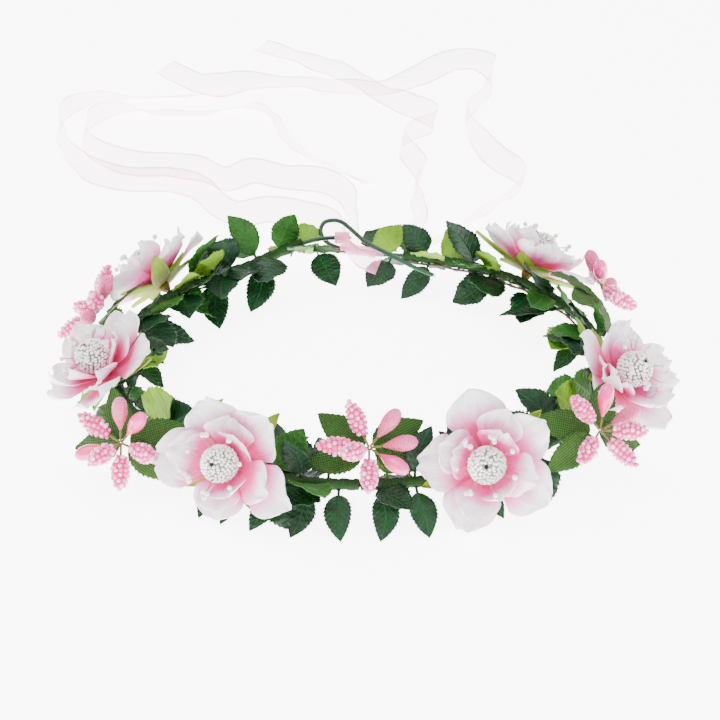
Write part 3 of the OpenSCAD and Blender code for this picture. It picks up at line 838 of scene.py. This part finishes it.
class CROWN_OT_leaves(Operator):
    """Build the cloth leaves along the ring and the net leaves of the sprays"""

    bl_idname = "crown.leaves"
    bl_label = "Leaves"

    def execute(self, context):
        c = colours()
        finishes = [
            leaf_finish("dark leaf cloth", c.leaf_dark, tinted(c.leaf_dark, 3.0), 0.42),
            leaf_finish("green leaf cloth", c.leaf_mid, tinted(c.leaf_mid, 2.0), 0.5),
            leaf_finish("lime leaf cloth", c.leaf_lime, tinted(c.leaf_lime, 1.5), 0.6),
        ]
        net = net_finish("net leaf cloth", c.leaf_net, tinted(c.leaf_net, 2.8))
        rng = np.random.default_rng(sizes().seed)
        for half, word, _ in HALVES:
            for place in ("front", "side", "back"):
                node = f"leaves_{place}_{word}"
                gather = Gather()
                for points in solids(node):
                    leaf = leaf_frame(points)
                    slot = int(rng.choice(3, p=LEAF_SHARES))
                    add_leaf(gather, leaf, rng, slot, sizes().teeth, sizes().leaf_fold)
                    add_stalk(gather, leaf[0], leaf[1], STALK_RADIUS, slot)
                name = node.replace("leaves", "cloth_leaves")
                gather.make(name, half, finishes, (node,), sizes().cloth)
            node = "spray_leaves_" + word
            gather = Gather()
            for points in solids(node):
                leaf = net_leaf_frame(points)
                add_leaf(gather, leaf, rng, 0, sizes().teeth, fold=0.1, loose=0.3)
            gather.make("net_leaves_" + word, half, [net], (node,), sizes().cloth)
        return {"FINISHED"}


# Blossoms

BLOSSOMS = 6
PETAL_HOLE = 1.1 * MM
PETAL_GRID = 17
# Share of a petal's length where it is widest.
PETAL_WIDEST = 0.62
PETAL_CREASE = 0.14 * MM
# How much wider than tall single blossoms are pressed; the others have the usual value.
OUT_OF_ROUND = {3: 0.14, 4: -0.05}
USUAL_OUT_OF_ROUND = 0.05
# The bed that a ball's beads lie on is this far under its skin, and its hole has no beads within
# this distance.
BED_DEPTH = 0.62 * MM
HOLE_CLEAR = 1.25 * MM
PEARL_DEPTH = 0.8 * MM
SEPAL_COUNT = 7
SEPAL_REACH = 17.5 * MM
SEPAL_HOLE = 0.9 * MM
SEPAL_ROWS, SEPAL_COLUMNS = 14, 9
# The sepals, numbered from 0, that are longer than the others, and how many times longer.
LONG_SEPALS = (1, 4)
LONG_SEPAL = 1.55


def blossom_frame(number):
    """Centre of the ball, the way the blossom faces and two directions square to it."""
    centre = welded(f"beaded_ball_{number}")[0].mean(axis=0)
    axis = unit(centre - welded(f"outer_petals_{number}")[0].mean(axis=0))
    side, over = across_and_over(axis, UP)
    return centre, axis, side, over


def depth_below(node, centre, axis):
    """How far back from the ball's centre the lowest part of a node is."""
    return float(-((welded(node)[0] - centre) @ axis).min())


def add_petals(gather, basis, depth, count, reach, width, cup, lift, turn, rng, ruffle, stretch):
    """One ring of petals, each a ruffled and creased sheet; stretch makes the ring wider than tall."""
    centre, axis, side, over = basis
    level = unit(np.cross(UP, axis))
    v, u = np.meshgrid(np.linspace(0, 1, PETAL_GRID), np.linspace(-1, 1, PETAL_GRID), indexing="ij")
    root_part = 0.14 + 0.86 * (v / PETAL_WIDEST) ** 1.05
    rim_part = np.sqrt(1 - 0.80 * (np.maximum(v - PETAL_WIDEST, 0) / 0.38) ** 2.6)
    outline = np.where(v < PETAL_WIDEST, root_part, rim_part)
    for k in range(count):
        size = reach * rng.uniform(0.93, 1.03)
        angle = turn + 2 * np.pi * (k + rng.uniform(-0.1, 0.1)) / count
        outward = np.cos(angle) * side + np.sin(angle) * over
        size *= 1 + stretch * (2 * (outward @ level) ** 2 - 1)
        spread = outline * width * rng.uniform(0.9, 1.08)
        notch = 0.05 * np.exp(-((u / 0.22) ** 2)) * rng.uniform(0.3, 1.4)
        rounding = 1 - 0.15 * np.abs(u) ** 2.2 * v - notch * v**4
        out = PETAL_HOLE + (size - PETAL_HOLE) * v * rounding
        out *= 1 + 0.02 * np.sin(7 * u + 6 * rng.random()) * v**3
        height = cup * rng.uniform(0.8, 1.15) * v**1.5 + lift * v * u
        height += cup * 0.12 * np.sin(2.4 * u + rng.uniform(0, 6)) * v**2
        phase = rng.uniform(0, 6, 3)
        height += ruffle * v**2.2 * (
            0.50 * np.sin(5.2 * u + phase[0])
            + 0.38 * np.sin(9.5 * u + phase[1]) * v
            + 0.22 * np.sin(17 * u + phase[2])
        )
        height += PETAL_CREASE * np.sin(26 * u) * (1 - 0.5 * v) * np.minimum(1, 5 * v)
        turned = 1 + 0.6 * np.sin(3 * u + phase[1])
        height -= rng.uniform(-0.3, 0.9) * ruffle * smoothstep(v, 0.72, 1.0) * turned
        height += rng.uniform(0.0, 0.45) * size * 0.3 * np.abs(u) ** 2 * v
        verts = petal_places(centre - depth * axis, axis, outward, out, u * spread, height)
        grain = np.column_stack([(u * 0.5 + 0.5 + 3 * k).ravel(), v.ravel()])
        gather.add(verts, grid_faces(PETAL_GRID, PETAL_GRID), grain)


def petal_places(start, axis, outward, out, across, height):
    """Places on a petal or sepal: how far out from the start, across it and along the axis."""
    sideways = np.cross(axis, outward)
    places = (
        start
        + out[..., None] * outward
        + across[..., None] * sideways
        + height[..., None] * axis
    )
    return places.reshape(-1, 3)


def add_sepals(gather, basis, depth, rng):
    """Pointed, ribbed sepals that curl back behind the petals."""
    centre, axis, side, over = basis
    rows, columns = np.linspace(0, 1, SEPAL_ROWS), np.linspace(-1, 1, SEPAL_COLUMNS)
    v, u = np.meshgrid(rows, columns, indexing="ij")
    outline = np.sin(np.pi * (0.16 + 0.84 * v) ** 0.9) ** 0.8 * (1 - 0.15 * v)
    spread = 4.6 * MM * outline + 0.15 * MM
    for k in range(SEPAL_COUNT):
        size = SEPAL_REACH * rng.uniform(0.8, 1.15) * (LONG_SEPAL if k in LONG_SEPALS else 1.0)
        out = SEPAL_HOLE + (size - SEPAL_HOLE) * v
        curl = rng.uniform(-0.28, 0.12)
        height = 0.5 * MM * np.sin(np.pi * v * 0.7) - curl * size * v**2.2 + 0.12 * MM * np.sin(14 * u)
        height += 0.8 * MM * u**2 * (0.4 + v)
        angle = 2 * np.pi * (k + rng.uniform(-0.15, 0.15)) / SEPAL_COUNT
        outward = np.cos(angle) * side + np.sin(angle) * over
        verts = petal_places(centre - depth * axis, axis, outward, out, u * spread, height)
        grain = np.column_stack([(u * 0.5 + 0.5).ravel(), (v * 0.5 + 3 * k).ravel()])
        gather.add(verts, grid_faces(SEPAL_ROWS, SEPAL_COLUMNS), grain)
    knob = centre - (depth + 2.2 * MM) * axis
    heights = np.array([-1.0, -0.6, 0.4, 1.6, 2.6]) * MM
    radii = np.array([0.5, 1.3, 2.0, 2.3, 1.0]) * MM
    turned_shape(gather, knob, axis, heights, radii, 14)


class CROWN_OT_blossoms(Operator):
    """Build the six blossoms: petals, sepals, beaded balls and stamens"""

    bl_idname = "crown.blossoms"
    bl_label = "Blossoms"

    def execute(self, context):
        c = colours()
        outer = petal_finish("outer petal cloth", c, 0.46, 0.78)
        inner = petal_finish("inner petal cloth", c, 0.66, 0.93)
        sepal = sepal_finish("sepal cloth", c.sepal, c.sepal_root)
        silver = bead_finish("silver beads", c.silver, (0.97, 0.96, 0.93), 0.35, 0.14)
        gap = plastic_finish("bead bed", (0.22, 0.21, 0.19), 0.6, 0.4, 900.0)
        # Near-black painted shade that stands for the shade inside a ball's threading hole.
        hole = plastic_finish("painted hole shade", (0.006, 0.005, 0.005), 0.8, 0.3, 900.0)
        pearl = bead_finish("stamen pearls", c.pearl, (0.97, 0.95, 0.92), 0.0, 0.25, 0.2)
        thread = plastic_finish("stamen threads", c.thread, 0.6, 0.3, 900.0)
        finishes = {"outer": [outer], "inner": [inner], "sepal": [sepal], "ball": [gap, silver, hole]}
        for number in range(1, BLOSSOMS + 1):
            half = LEFT if number <= BLOSSOMS / 2 else RIGHT
            self.blossom(number, half, finishes, np.random.default_rng(sizes().seed + number))
        for half, word, _ in HALVES:
            self.stamens(half, word, [thread, pearl])
        return {"FINISHED"}

    def blossom(self, number, half, finishes, rng):
        """The petals, sepals and ball of one blossom."""
        basis = blossom_frame(number)
        centre, axis = basis[:2]
        outer_node, inner_node, calyx_node = (
            f"{kind}_{number}" for kind in ("outer_petals", "inner_petals", "calyx")
        )
        ruffle = sizes().ruffle
        cloth = sizes().petal_cloth
        depth = depth_below(outer_node, centre, axis)
        reach = np.linalg.norm(np.cross(welded(outer_node)[0] - centre, axis), axis=1).max()
        turn = rng.uniform(0, 1)
        stretch = OUT_OF_ROUND.get(number, USUAL_OUT_OF_ROUND)
        gather = Gather()
        add_petals(
            gather, basis, depth - 0.4 * MM, count=5, reach=reach * 1.05, width=10.4 * MM, cup=6.8 * MM,
            lift=1.6 * MM, turn=turn, rng=rng, ruffle=ruffle, stretch=stretch,
        )
        add_petals(
            gather, basis, depth - 1.5 * MM, count=4, reach=reach * 0.80, width=9.0 * MM, cup=10.2 * MM,
            lift=1.4 * MM, turn=turn + 0.6, rng=rng, ruffle=ruffle * 1.1, stretch=stretch,
        )
        name = f"petals_outer_{number}"
        gather.make(name, half, finishes["outer"], (outer_node,), cloth)
        gather = Gather()
        add_petals(
            gather, basis, depth_below(inner_node, centre, axis), count=3, reach=reach * 0.56,
            width=8.0 * MM, cup=11.0 * MM, lift=1.0 * MM, turn=turn + 0.3, rng=rng,
            ruffle=ruffle * 0.9, stretch=stretch,
        )
        name = f"petals_inner_{number}"
        gather.make(name, half, finishes["inner"], (inner_node,), cloth)
        gather = Gather()
        add_sepals(gather, basis, depth_below(calyx_node, centre, axis), rng)
        name = f"sepals_{number}"
        gather.make(name, half, finishes["sepal"], (calyx_node,), cloth)
        self.ball(number, half, basis, finishes["ball"], rng)

    def ball(self, number, half, basis, finishes, rng):
        """A ball thickly set with small beads round its threading hole, capped in near-black painted
        shade.
        """
        centre, axis, side, over = basis
        low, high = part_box(f"beaded_ball_{number}")
        radius = float(np.max(np.array(high) - np.array(low))) / 2
        count = sizes().ball_beads
        k = np.arange(count) + 0.5
        height = 1 - 2 * k / count
        turn = np.pi * (1 + 5**0.5) * k
        flat = np.sqrt(1 - height**2)
        way = (
            (flat * np.cos(turn))[:, None] * side
            + (flat * np.sin(turn))[:, None] * over
            + height[:, None] * axis
        )
        way = unit(way + 0.03 * rng.normal(size=way.shape))
        open_hole = np.arccos(np.clip(way @ axis, -1, 1)) * radius > HOLE_CLEAR
        way = way[open_hole]
        gather = Gather()
        verts, faces = unit_sphere(4)
        gather.add(centre + (radius - BED_DEPTH) * verts, faces, verts[:, :2], 0)
        reach = radius - 0.42 * MM + 0.12 * MM * rng.random(len(way))
        sizes_here = sizes().ball_bead * rng.uniform(0.85, 1.12, len(way))
        beads(gather, centre + way * reach[:, None], sizes_here, unit_sphere(2), 1)
        # A near-black cap over the threading hole (slot 2): painted shade inside the hole.
        heights = np.array([-0.5, 0.0, 0.06, 0.05]) * MM
        radii = np.array([0.75, 0.75, 0.4, 0.02]) * MM
        turned_shape(gather, centre + (radius - BED_DEPTH) * axis, axis, heights, radii, 16, 2)
        gather.make(f"ball_{number}", half, finishes, (f"beaded_ball_{number}",))

    def stamens(self, half, word, finishes):
        """Thin threads with a pearl at the end, where the frame has them."""
        centres = [blossom_frame(n)[0] for n in range(1, BLOSSOMS + 1)]
        gather = Gather()
        ball = unit_sphere(3)
        rng = np.random.default_rng(sizes().seed + 40)
        for number, points in enumerate(solids("stamens_" + word)):
            away = [np.linalg.norm(points - c, axis=1) for c in centres]
            near = int(np.argmin([a.min() for a in away]))
            top = points[away[near] > away[near].max() - 0.4 * MM].mean(axis=0)
            way = unit(top - centres[near])
            tip = top - way * PEARL_DEPTH
            foot = centres[near] + way * (away[near].min() - PEARL_DEPTH)
            self.stamen(gather, foot, tip, ball, rng)
            if number % 7 in (1, 2, 3):
                for _ in range(2):
                    shift = rng.uniform(-1.6, 1.6, 3) * MM
                    self.stamen(gather, foot + 0.3 * shift, tip + shift, ball, rng)
        gather.make("stamen_pearls_" + word, half, finishes, ("stamens_" + word,))

    def stamen(self, gather, foot, tip, ball, rng):
        """One curved thread with its pearl."""
        sag = 0.5 * MM * rng.normal(size=3)
        tube(gather, resample([foot, (foot + tip) / 2 + sag, tip], 0.5 * MM), 0.17 * MM, 6, 0)
        beads(gather, [tip], [sizes().pearl * rng.uniform(0.85, 1.12)], ball, 1)


# Berry sprays

BUD_RADIUS = 2.95 * MM
# Share of a bud's length where it is widest.
BUD_WIDEST = 0.58
SPIKE_RADIUS = 3.0 * MM
STEM_RADIUS = 0.45 * MM
# Shares of the way from foot to tip: the bare stalk under a bud or spike, and a spike's beads.
STALK_SHARE = 0.2
SPIKE_SHARE = 0.78


def member_frame(points, hub):
    """Foot and tip of the bud or spike that a solid of the frame stands for."""
    away = np.linalg.norm(points - hub, axis=1)
    tip = points[away > away.max() - 0.3 * MM].mean(axis=0)
    foot = points[away < away.min() + 0.3 * MM].mean(axis=0)
    return foot, tip


def spray_hub(number):
    """Where the members of a spray meet: the place nearest to all their axes."""
    pull, total = np.zeros((3, 3)), np.zeros(3)
    for node in (f"buds_{number}", f"bead_spikes_{number}"):
        for points in solids(node):
            middle_point = points.mean(axis=0)
            way = np.linalg.svd(points - middle_point, full_matrices=False)[2][0]
            square = np.eye(3) - np.outer(way, way)
            pull += square
            total += square @ middle_point
    return np.linalg.solve(pull, total)


def spike_girth(share):
    """The radius of a beaded spike at a share of its length."""
    return SPIKE_RADIUS * np.sin(np.pi * (0.10 + 0.84 * share) ** 0.95) ** 0.75


def add_stem(gather, foot, along, low, high, slot):
    """The stalk under a bud or spike, through shares low and high of the way to its tip."""
    path = [foot - 1.5 * MM * unit(along), foot + low * along, foot + high * along]
    tube(gather, path, STEM_RADIUS, 8, slot)


class CROWN_OT_sprays(Operator):
    """Build the glossy and frosted buds and the beaded spikes"""

    bl_idname = "crown.sprays"
    bl_label = "Berry sprays"

    def execute(self, context):
        c = colours()
        buds = [bud_finish("glossy buds", c, False), bud_finish("frosted buds", c, True)]
        stalk = plastic_finish("bud stalks", (0.16, 0.13, 0.03), 0.6, 0.4, 500.0)
        core = plastic_finish("spike core", c.spike_core, 0.4, 0.3, 700.0)
        pale = bead_finish("spike beads", c.spike_bead, (0.98, 0.68, 0.85), 0.0, 0.18, 0.2)
        for number in range(1, 6):
            half = LEFT if number <= 2 else RIGHT
            rng = np.random.default_rng(sizes().seed + 60 + number)
            hub = spray_hub(number)
            gather = Gather()
            for k, points in enumerate(solids(f"buds_{number}")):
                self.bud(gather, *member_frame(points, hub), (k + number) % 2, rng)
            gather.make(f"resin_buds_{number}", half, buds + [stalk], (f"buds_{number}",))
            node = f"bead_spikes_{number}"
            gather = Gather()
            for points in solids(node):
                self.spike(gather, *member_frame(points, hub), rng)
            gather.make(f"spikes_{number}", half, [stalk, core, pale], (node,))
        return {"FINISHED"}

    def bud(self, gather, foot, tip, slot, rng):
        """A drop-shaped bud on a thin, slightly bent stalk."""
        length = np.linalg.norm(tip - foot)
        way = unit(tip - foot)
        side = across_and_over(way, UP + 0.02)[0]
        share = np.linspace(0, 1, 22)
        heights = length * (STALK_SHARE + 0.8 * share)
        radii = BUD_RADIUS * (0.20 + 0.80 * np.sin(np.pi * share * 0.86) ** 1.25)
        rounded = np.sqrt(1 - (np.maximum(share - BUD_WIDEST, 0) / 0.42) ** 2.2)
        radii = np.where(share > BUD_WIDEST, BUD_RADIUS * rounded, radii)
        radii[-1] = 0.02 * MM
        bend = rng.uniform(-0.6, 0.6) * MM * share**2
        line = foot + np.outer(heights, way) + np.outer(bend, side)
        start = len(gather.verts)
        tube(gather, line, radii, 18, slot, 0.0, capped=False)
        gather.grain[start][:, 0] += rng.random()
        add_stem(gather, foot, tip - foot, 0.1, 0.26, 2)

    def spike(self, gather, foot, tip, rng):
        """A stalk with a pink core that beads wind round in close rows."""
        length = np.linalg.norm(tip - foot)
        way = unit(tip - foot)
        side, over = across_and_over(way, UP + 0.02)
        add_stem(gather, foot, tip - foot, 0.15, 0.3, 0)
        share = np.linspace(0, 1, 14)
        heights = length * (STALK_SHARE + SPIKE_SHARE * share)
        turned_shape(gather, foot, way, heights, spike_girth(share) - 0.35 * MM, 14, 1)
        bead = sizes().spike_bead
        at, turn, centres, radii = 0.0, rng.uniform(0, 6), [], []
        while at < 1:
            out = spike_girth(at) - 0.15 * MM
            radius = bead * rng.uniform(0.82, 1.1)
            way_out = np.cos(turn) * side + np.sin(turn) * over
            height = length * (STALK_SHARE + SPIKE_SHARE * at)
            shake = 0.12 * MM * rng.normal(size=3)
            centres.append(foot + way * height + way_out * out + shake)
            radii.append(radius)
            stride = 2.25 * bead / max(out, 0.8 * MM)
            turn += stride
            at += 2.1 * bead / (SPIKE_SHARE * length) * stride / (2 * np.pi)
        centres.append(tip - 0.4 * MM * way)
        radii.append(bead)
        beads(gather, centres, radii, unit_sphere(2), 2)


# Ribbon

LOWEST_RIBBON = 0.12 * MM
TAIL_COLUMNS = 9
WINDING_STEP = 0.4 * MM
WINDING_PITCH = 2.8 * MM
WINDING_RADIUS = 1.75 * MM
WINDING_SIDES = 24
LOOP_ROWS, LOOP_SIDES = 26, 40
# The fold's middle line, seen from the middle of the winding, and how long its cloth is.
FOLD_PATH = np.array([[-6, -2, 3], [-1, -4, 1], [4, -6.5, -0.5], [9, -9.5, -2]]) * MM
FOLD_RUN = 17.5 * MM
FOLD_COLUMNS = 11


def strip_lines(name):
    """For each strip of a ribbon node: rows of middle, width direction and half width, from the knot."""
    found = []
    for points in solids(name):
        knot = np.array([0, RING_R, RING_Z])
        near = points[np.argmin(np.linalg.norm(points - knot, axis=1))]
        start = near - np.array([0, 60 * MM, 0])
        own = solid_rings(name, points, start)
        rows = []
        side = np.array([1.0, 0, 0])
        for ring in own:
            middle_point = ring.mean(axis=0)
            way = np.linalg.svd(ring - middle_point, full_matrices=False)[2][0]
            way = way if way @ side > 0 else -way
            side = way
            rows.append(np.concatenate([middle_point, way, [np.abs((ring - middle_point) @ way).max()]]))
        found.append(np.array(rows))
    return found


def solid_rings(name, points, start):
    """The rings of four of one strip, from its end nearest to start."""
    first = points[np.argsort(np.linalg.norm(points - start, axis=1))[:STRIP_CORNERS]].mean(axis=0)
    return rings(name, first, STRIP_CORNERS)


class CROWN_OT_ribbon(Operator):
    """Build the sheer ribbon: four tails, the loop, the winding and a loose fold"""

    bl_idname = "crown.ribbon"
    bl_label = "Ribbon"

    def execute(self, context):
        c = colours()
        sheer = organza_finish("sheer ribbon", c.ribbon, c.ribbon_edge, 0.30)
        layered = organza_finish("layered ribbon", c.ribbon_layered, c.ribbon_edge, 0.55, 0.25)
        rng = np.random.default_rng(sizes().seed + 90)
        for node in ("ribbon_tails_left", "ribbon_tails_right"):
            for number, rows in enumerate(strip_lines(node)):
                self.tail(f"{node}_{number + 1}", rows, sheer, node, rng)
        self.winding(layered, rng)
        self.fold(organza_finish("folded ribbon", c.ribbon_layered, c.ribbon_edge, 0.42, 0.25))
        return {"FINISHED"}

    def tail(self, name, rows, finish, node, rng):
        """One long tail that lies on the table in curves, often standing on its edge."""
        rows = resample(rows, 1.5 * MM)
        middle_line, side, half = rows[:, :3], unit(rows[:, 3:6]), rows[:, 6]
        along = unit(np.gradient(middle_line, axis=0))
        normal = unit(np.cross(along, side))
        run = np.append(0, np.cumsum(np.linalg.norm(np.diff(middle_line, axis=0), axis=1)))
        u, s = np.linspace(0, 1, TAIL_COLUMNS), np.linspace(-1, 1, TAIL_COLUMNS)
        wave = sizes().flutter * np.sin(run[:, None] / (9 * MM) + 1.3 * s[None] + rng.uniform(0, 6))
        wave += 0.5 * sizes().flutter * s[None] ** 2 * np.sin(run[:, None] / (4 * MM) + rng.uniform(0, 6))
        verts = (
            middle_line[:, None]
            + (half[:, None] * s[None])[..., None] * side[:, None]
            + wave[..., None] * normal[:, None]
        ).reshape(-1, 3)
        verts[:, 2] = np.maximum(verts[:, 2], LOWEST_RIBBON)
        grain = np.column_stack([np.tile(u, len(run)), np.repeat(run, TAIL_COLUMNS)])
        gather = Gather()
        gather.add(verts, grid_faces(len(run), TAIL_COLUMNS), grain)
        piece = gather.make(name, RIGHT, [finish], (node,))

    def winding(self, finish, rng):
        """Ribbon wound round the hook's shank, and the loop that holds the left wire's end."""
        band = middle("ribbon_wrap")
        line = covered_wire(RIGHT, "ribbon_wrap", 1.9 * MM, WINDING_STEP)
        turn = np.linspace(0, 1, WINDING_SIDES, endpoint=False)
        step = np.arange(len(line))[:, None] * WINDING_STEP / WINDING_PITCH + turn[None]
        layers = 0.4 * MM * np.abs(np.sin(np.pi * step))
        rough = 0.05 * MM * rng.normal(size=(len(line), WINDING_SIDES))
        gather = Gather()
        tube(gather, line, WINDING_RADIUS + layers + rough, WINDING_SIDES)
        gather.make("ribbon_winding", RIGHT, [finish], ("ribbon_wrap",))
        low, high = (np.array(corner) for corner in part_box("ribbon_loop"))
        outer = (high[1] - low[1]) / 2
        centre = np.array([(low[0] + high[0]) / 2, (low[1] + high[1]) / 2, high[2] - outer])
        x = np.linspace(low[0], high[0], LOOP_ROWS)
        ring = np.linspace(0, 2 * np.pi, LOOP_SIDES, endpoint=False)
        reach = outer - 0.25 * MM + 0.22 * MM * np.sin(5.3 * (x / MM)[:, None] + 2 * ring[None])
        verts = np.stack([
            np.broadcast_to(x[:, None], reach.shape),
            centre[1] + reach * np.cos(ring),
            centre[2] + reach * np.sin(ring),
        ], axis=-1).reshape(-1, 3)
        share = (x - low[0]) / (high[0] - low[0])
        grain = np.column_stack([np.repeat(share, LOOP_SIDES), np.tile(ring * outer, LOOP_ROWS)])
        gather = Gather()
        gather.add(verts, grid_faces(LOOP_ROWS, LOOP_SIDES, closed=True), grain)
        strap = [centre + [1.5 * MM, 0, -outer * 0.8], (centre + band) / 2, band]
        tube(gather, resample(strap, 0.5 * MM), 1.3 * MM, 12, 0)
        gather.make("ribbon_eye", RIGHT, [finish], ("ribbon_loop",), 0.25 * MM)

    def fold(self, finish):
        """The loose sheer fold that spreads from the winding, under the hook's shank."""
        line = resample(middle("ribbon_wrap") + FOLD_PATH, 0.8 * MM)
        share = np.linspace(0, 1, len(line))[:, None]
        s = np.linspace(-1, 1, FOLD_COLUMNS)[None]
        width = (2.5 + 2.6 * smoothstep(share, 0, 0.6)) * MM
        way = unit(np.array([0.35, 0.75, 0.55]))
        lift = 0.7 * MM * np.sin(4 * s + 5 * share) + 0.3 * MM * np.sin(9 * s - 7 * share)
        verts = line[:, None] + (s * width)[..., None] * way + lift[..., None] * np.array([0.3, -0.6, 0.7])
        run = share * FOLD_RUN * np.ones_like(s)
        gather = Gather()
        grain = np.column_stack([np.broadcast_to(s * 0.5 + 0.5, run.shape).ravel(), run.ravel()])
        gather.add(verts.reshape(-1, 3), grid_faces(len(line), FOLD_COLUMNS), grain)
        piece = gather.make("ribbon_fold", RIGHT, [finish])


# Stage

CAMERA_TILT = math.radians(28.0)
CAMERA_AWAY = 1.05
CAMERA_LENS = 135.0
FLOOR_GLOW = 7.0
WORLD_LIGHT = 1.2
WHITE = (1.0, 1.0, 1.0, 1.0)
# Name, place, size and power of each light.
LIGHTS = (
    ("key light", (-0.5, -0.2, 1.5), 1.4, 33.0),
    ("fill light", (0.8, -1.0, 1.0), 1.2, 12.0),
    ("back light", (0.1, 1.3, 1.1), 1.2, 11.0),
)


class CROWN_OT_stage(Operator):
    """Set the table, the lights and the camera"""

    bl_idname = "crown.stage"
    bl_label = "Stage"

    def execute(self, context):
        scene = context.scene
        centre = Vector((0.0, 0.0, RING_Z))
        corners = np.array([[-3, -3, 0], [3, -3, 0], [3, 5, 0], [-3, 5, 0]], dtype=float)
        mesh = bpy.data.meshes.new("table")
        mesh.from_pydata(corners.tolist(), [], [[0, 1, 2, 3]])
        floor = bpy.data.objects.new("table", mesh)
        f = Finish("table top", Roughness=0.7, Emission_Color=WHITE, Emission_Strength=FLOOR_GLOW)
        cloud = f.noise(f.place(), 3.0, 2.0)
        stops = [(0.3, tinted(colours().floor, 0.985)), (0.7, colours().floor)]
        f.drive("Base Color", f.ramp(cloud, stops))
        mesh.materials.append(f.material)
        scene.collection.objects.link(floor)
        for name, place, size, power in LIGHTS:
            lamp = bpy.data.lights.new(name, "AREA")
            lamp.energy = power
            lamp.size = size
            light = bpy.data.objects.new(name, lamp)
            light.location = place
            light.rotation_euler = (centre - Vector(place)).to_track_quat("-Z", "Y").to_euler()
            scene.collection.objects.link(light)
        world = bpy.data.worlds.new("studio")
        world.use_nodes = True
        world.node_tree.nodes["Background"].inputs[0].default_value = WHITE
        world.node_tree.nodes["Background"].inputs[1].default_value = WORLD_LIGHT
        scene.world = world
        lens = bpy.data.cameras.new("camera")
        lens.lens = CAMERA_LENS
        lens.sensor_width = 36.0
        camera = bpy.data.objects.new("camera", lens)
        back = Vector((0, -math.cos(CAMERA_TILT), math.sin(CAMERA_TILT)))
        camera.location = centre + CAMERA_AWAY * back
        camera.rotation_euler = (centre - camera.location).to_track_quat("-Z", "Y").to_euler()
        scene.collection.objects.link(camera)
        scene.camera = camera
        return {"FINISHED"}


class CROWN_PT_panel(Panel):
    """The crown's settings and operators"""

    bl_idname = "CROWN_PT_panel"
    bl_label = "Flower Crown"
    bl_space_type = "VIEW_3D"
    bl_region_type = "UI"
    bl_category = "Crown"

    def draw(self, context):
        layout = self.layout
        for settings in (context.scene.crown_sizes, context.scene.crown_colours):
            box = layout.box()
            for name in settings.__annotations__:
                box.prop(settings, name)
        for step in STEPS:
            layout.operator(step.bl_idname)


STEPS = (
    CROWN_OT_wires,
    CROWN_OT_tape,
    CROWN_OT_leaves,
    CROWN_OT_blossoms,
    CROWN_OT_sprays,
    CROWN_OT_ribbon,
    CROWN_OT_stage,
)
CLASSES = (CrownSizes, CrownColours, *STEPS, CROWN_PT_panel)


def register():
    """Add the crown's settings, operators and panel to Blender."""
    for made in CLASSES:
        bpy.utils.register_class(made)
    bpy.types.Scene.crown_sizes = PointerProperty(type=CrownSizes)
    bpy.types.Scene.crown_colours = PointerProperty(type=CrownColours)


def unregister():
    """Take them out again."""
    del bpy.types.Scene.crown_colours
    del bpy.types.Scene.crown_sizes
    for made in reversed(CLASSES):
        bpy.utils.unregister_class(made)


def main():
    """Build the crown."""
    register()
    bpy.ops.crown.wires()
    bpy.ops.crown.tape()
    bpy.ops.crown.leaves()
    bpy.ops.crown.blossoms()
    bpy.ops.crown.sprays()
    bpy.ops.crown.ribbon()
    bpy.ops.crown.stage()


if __name__ == "__main__":
    main()
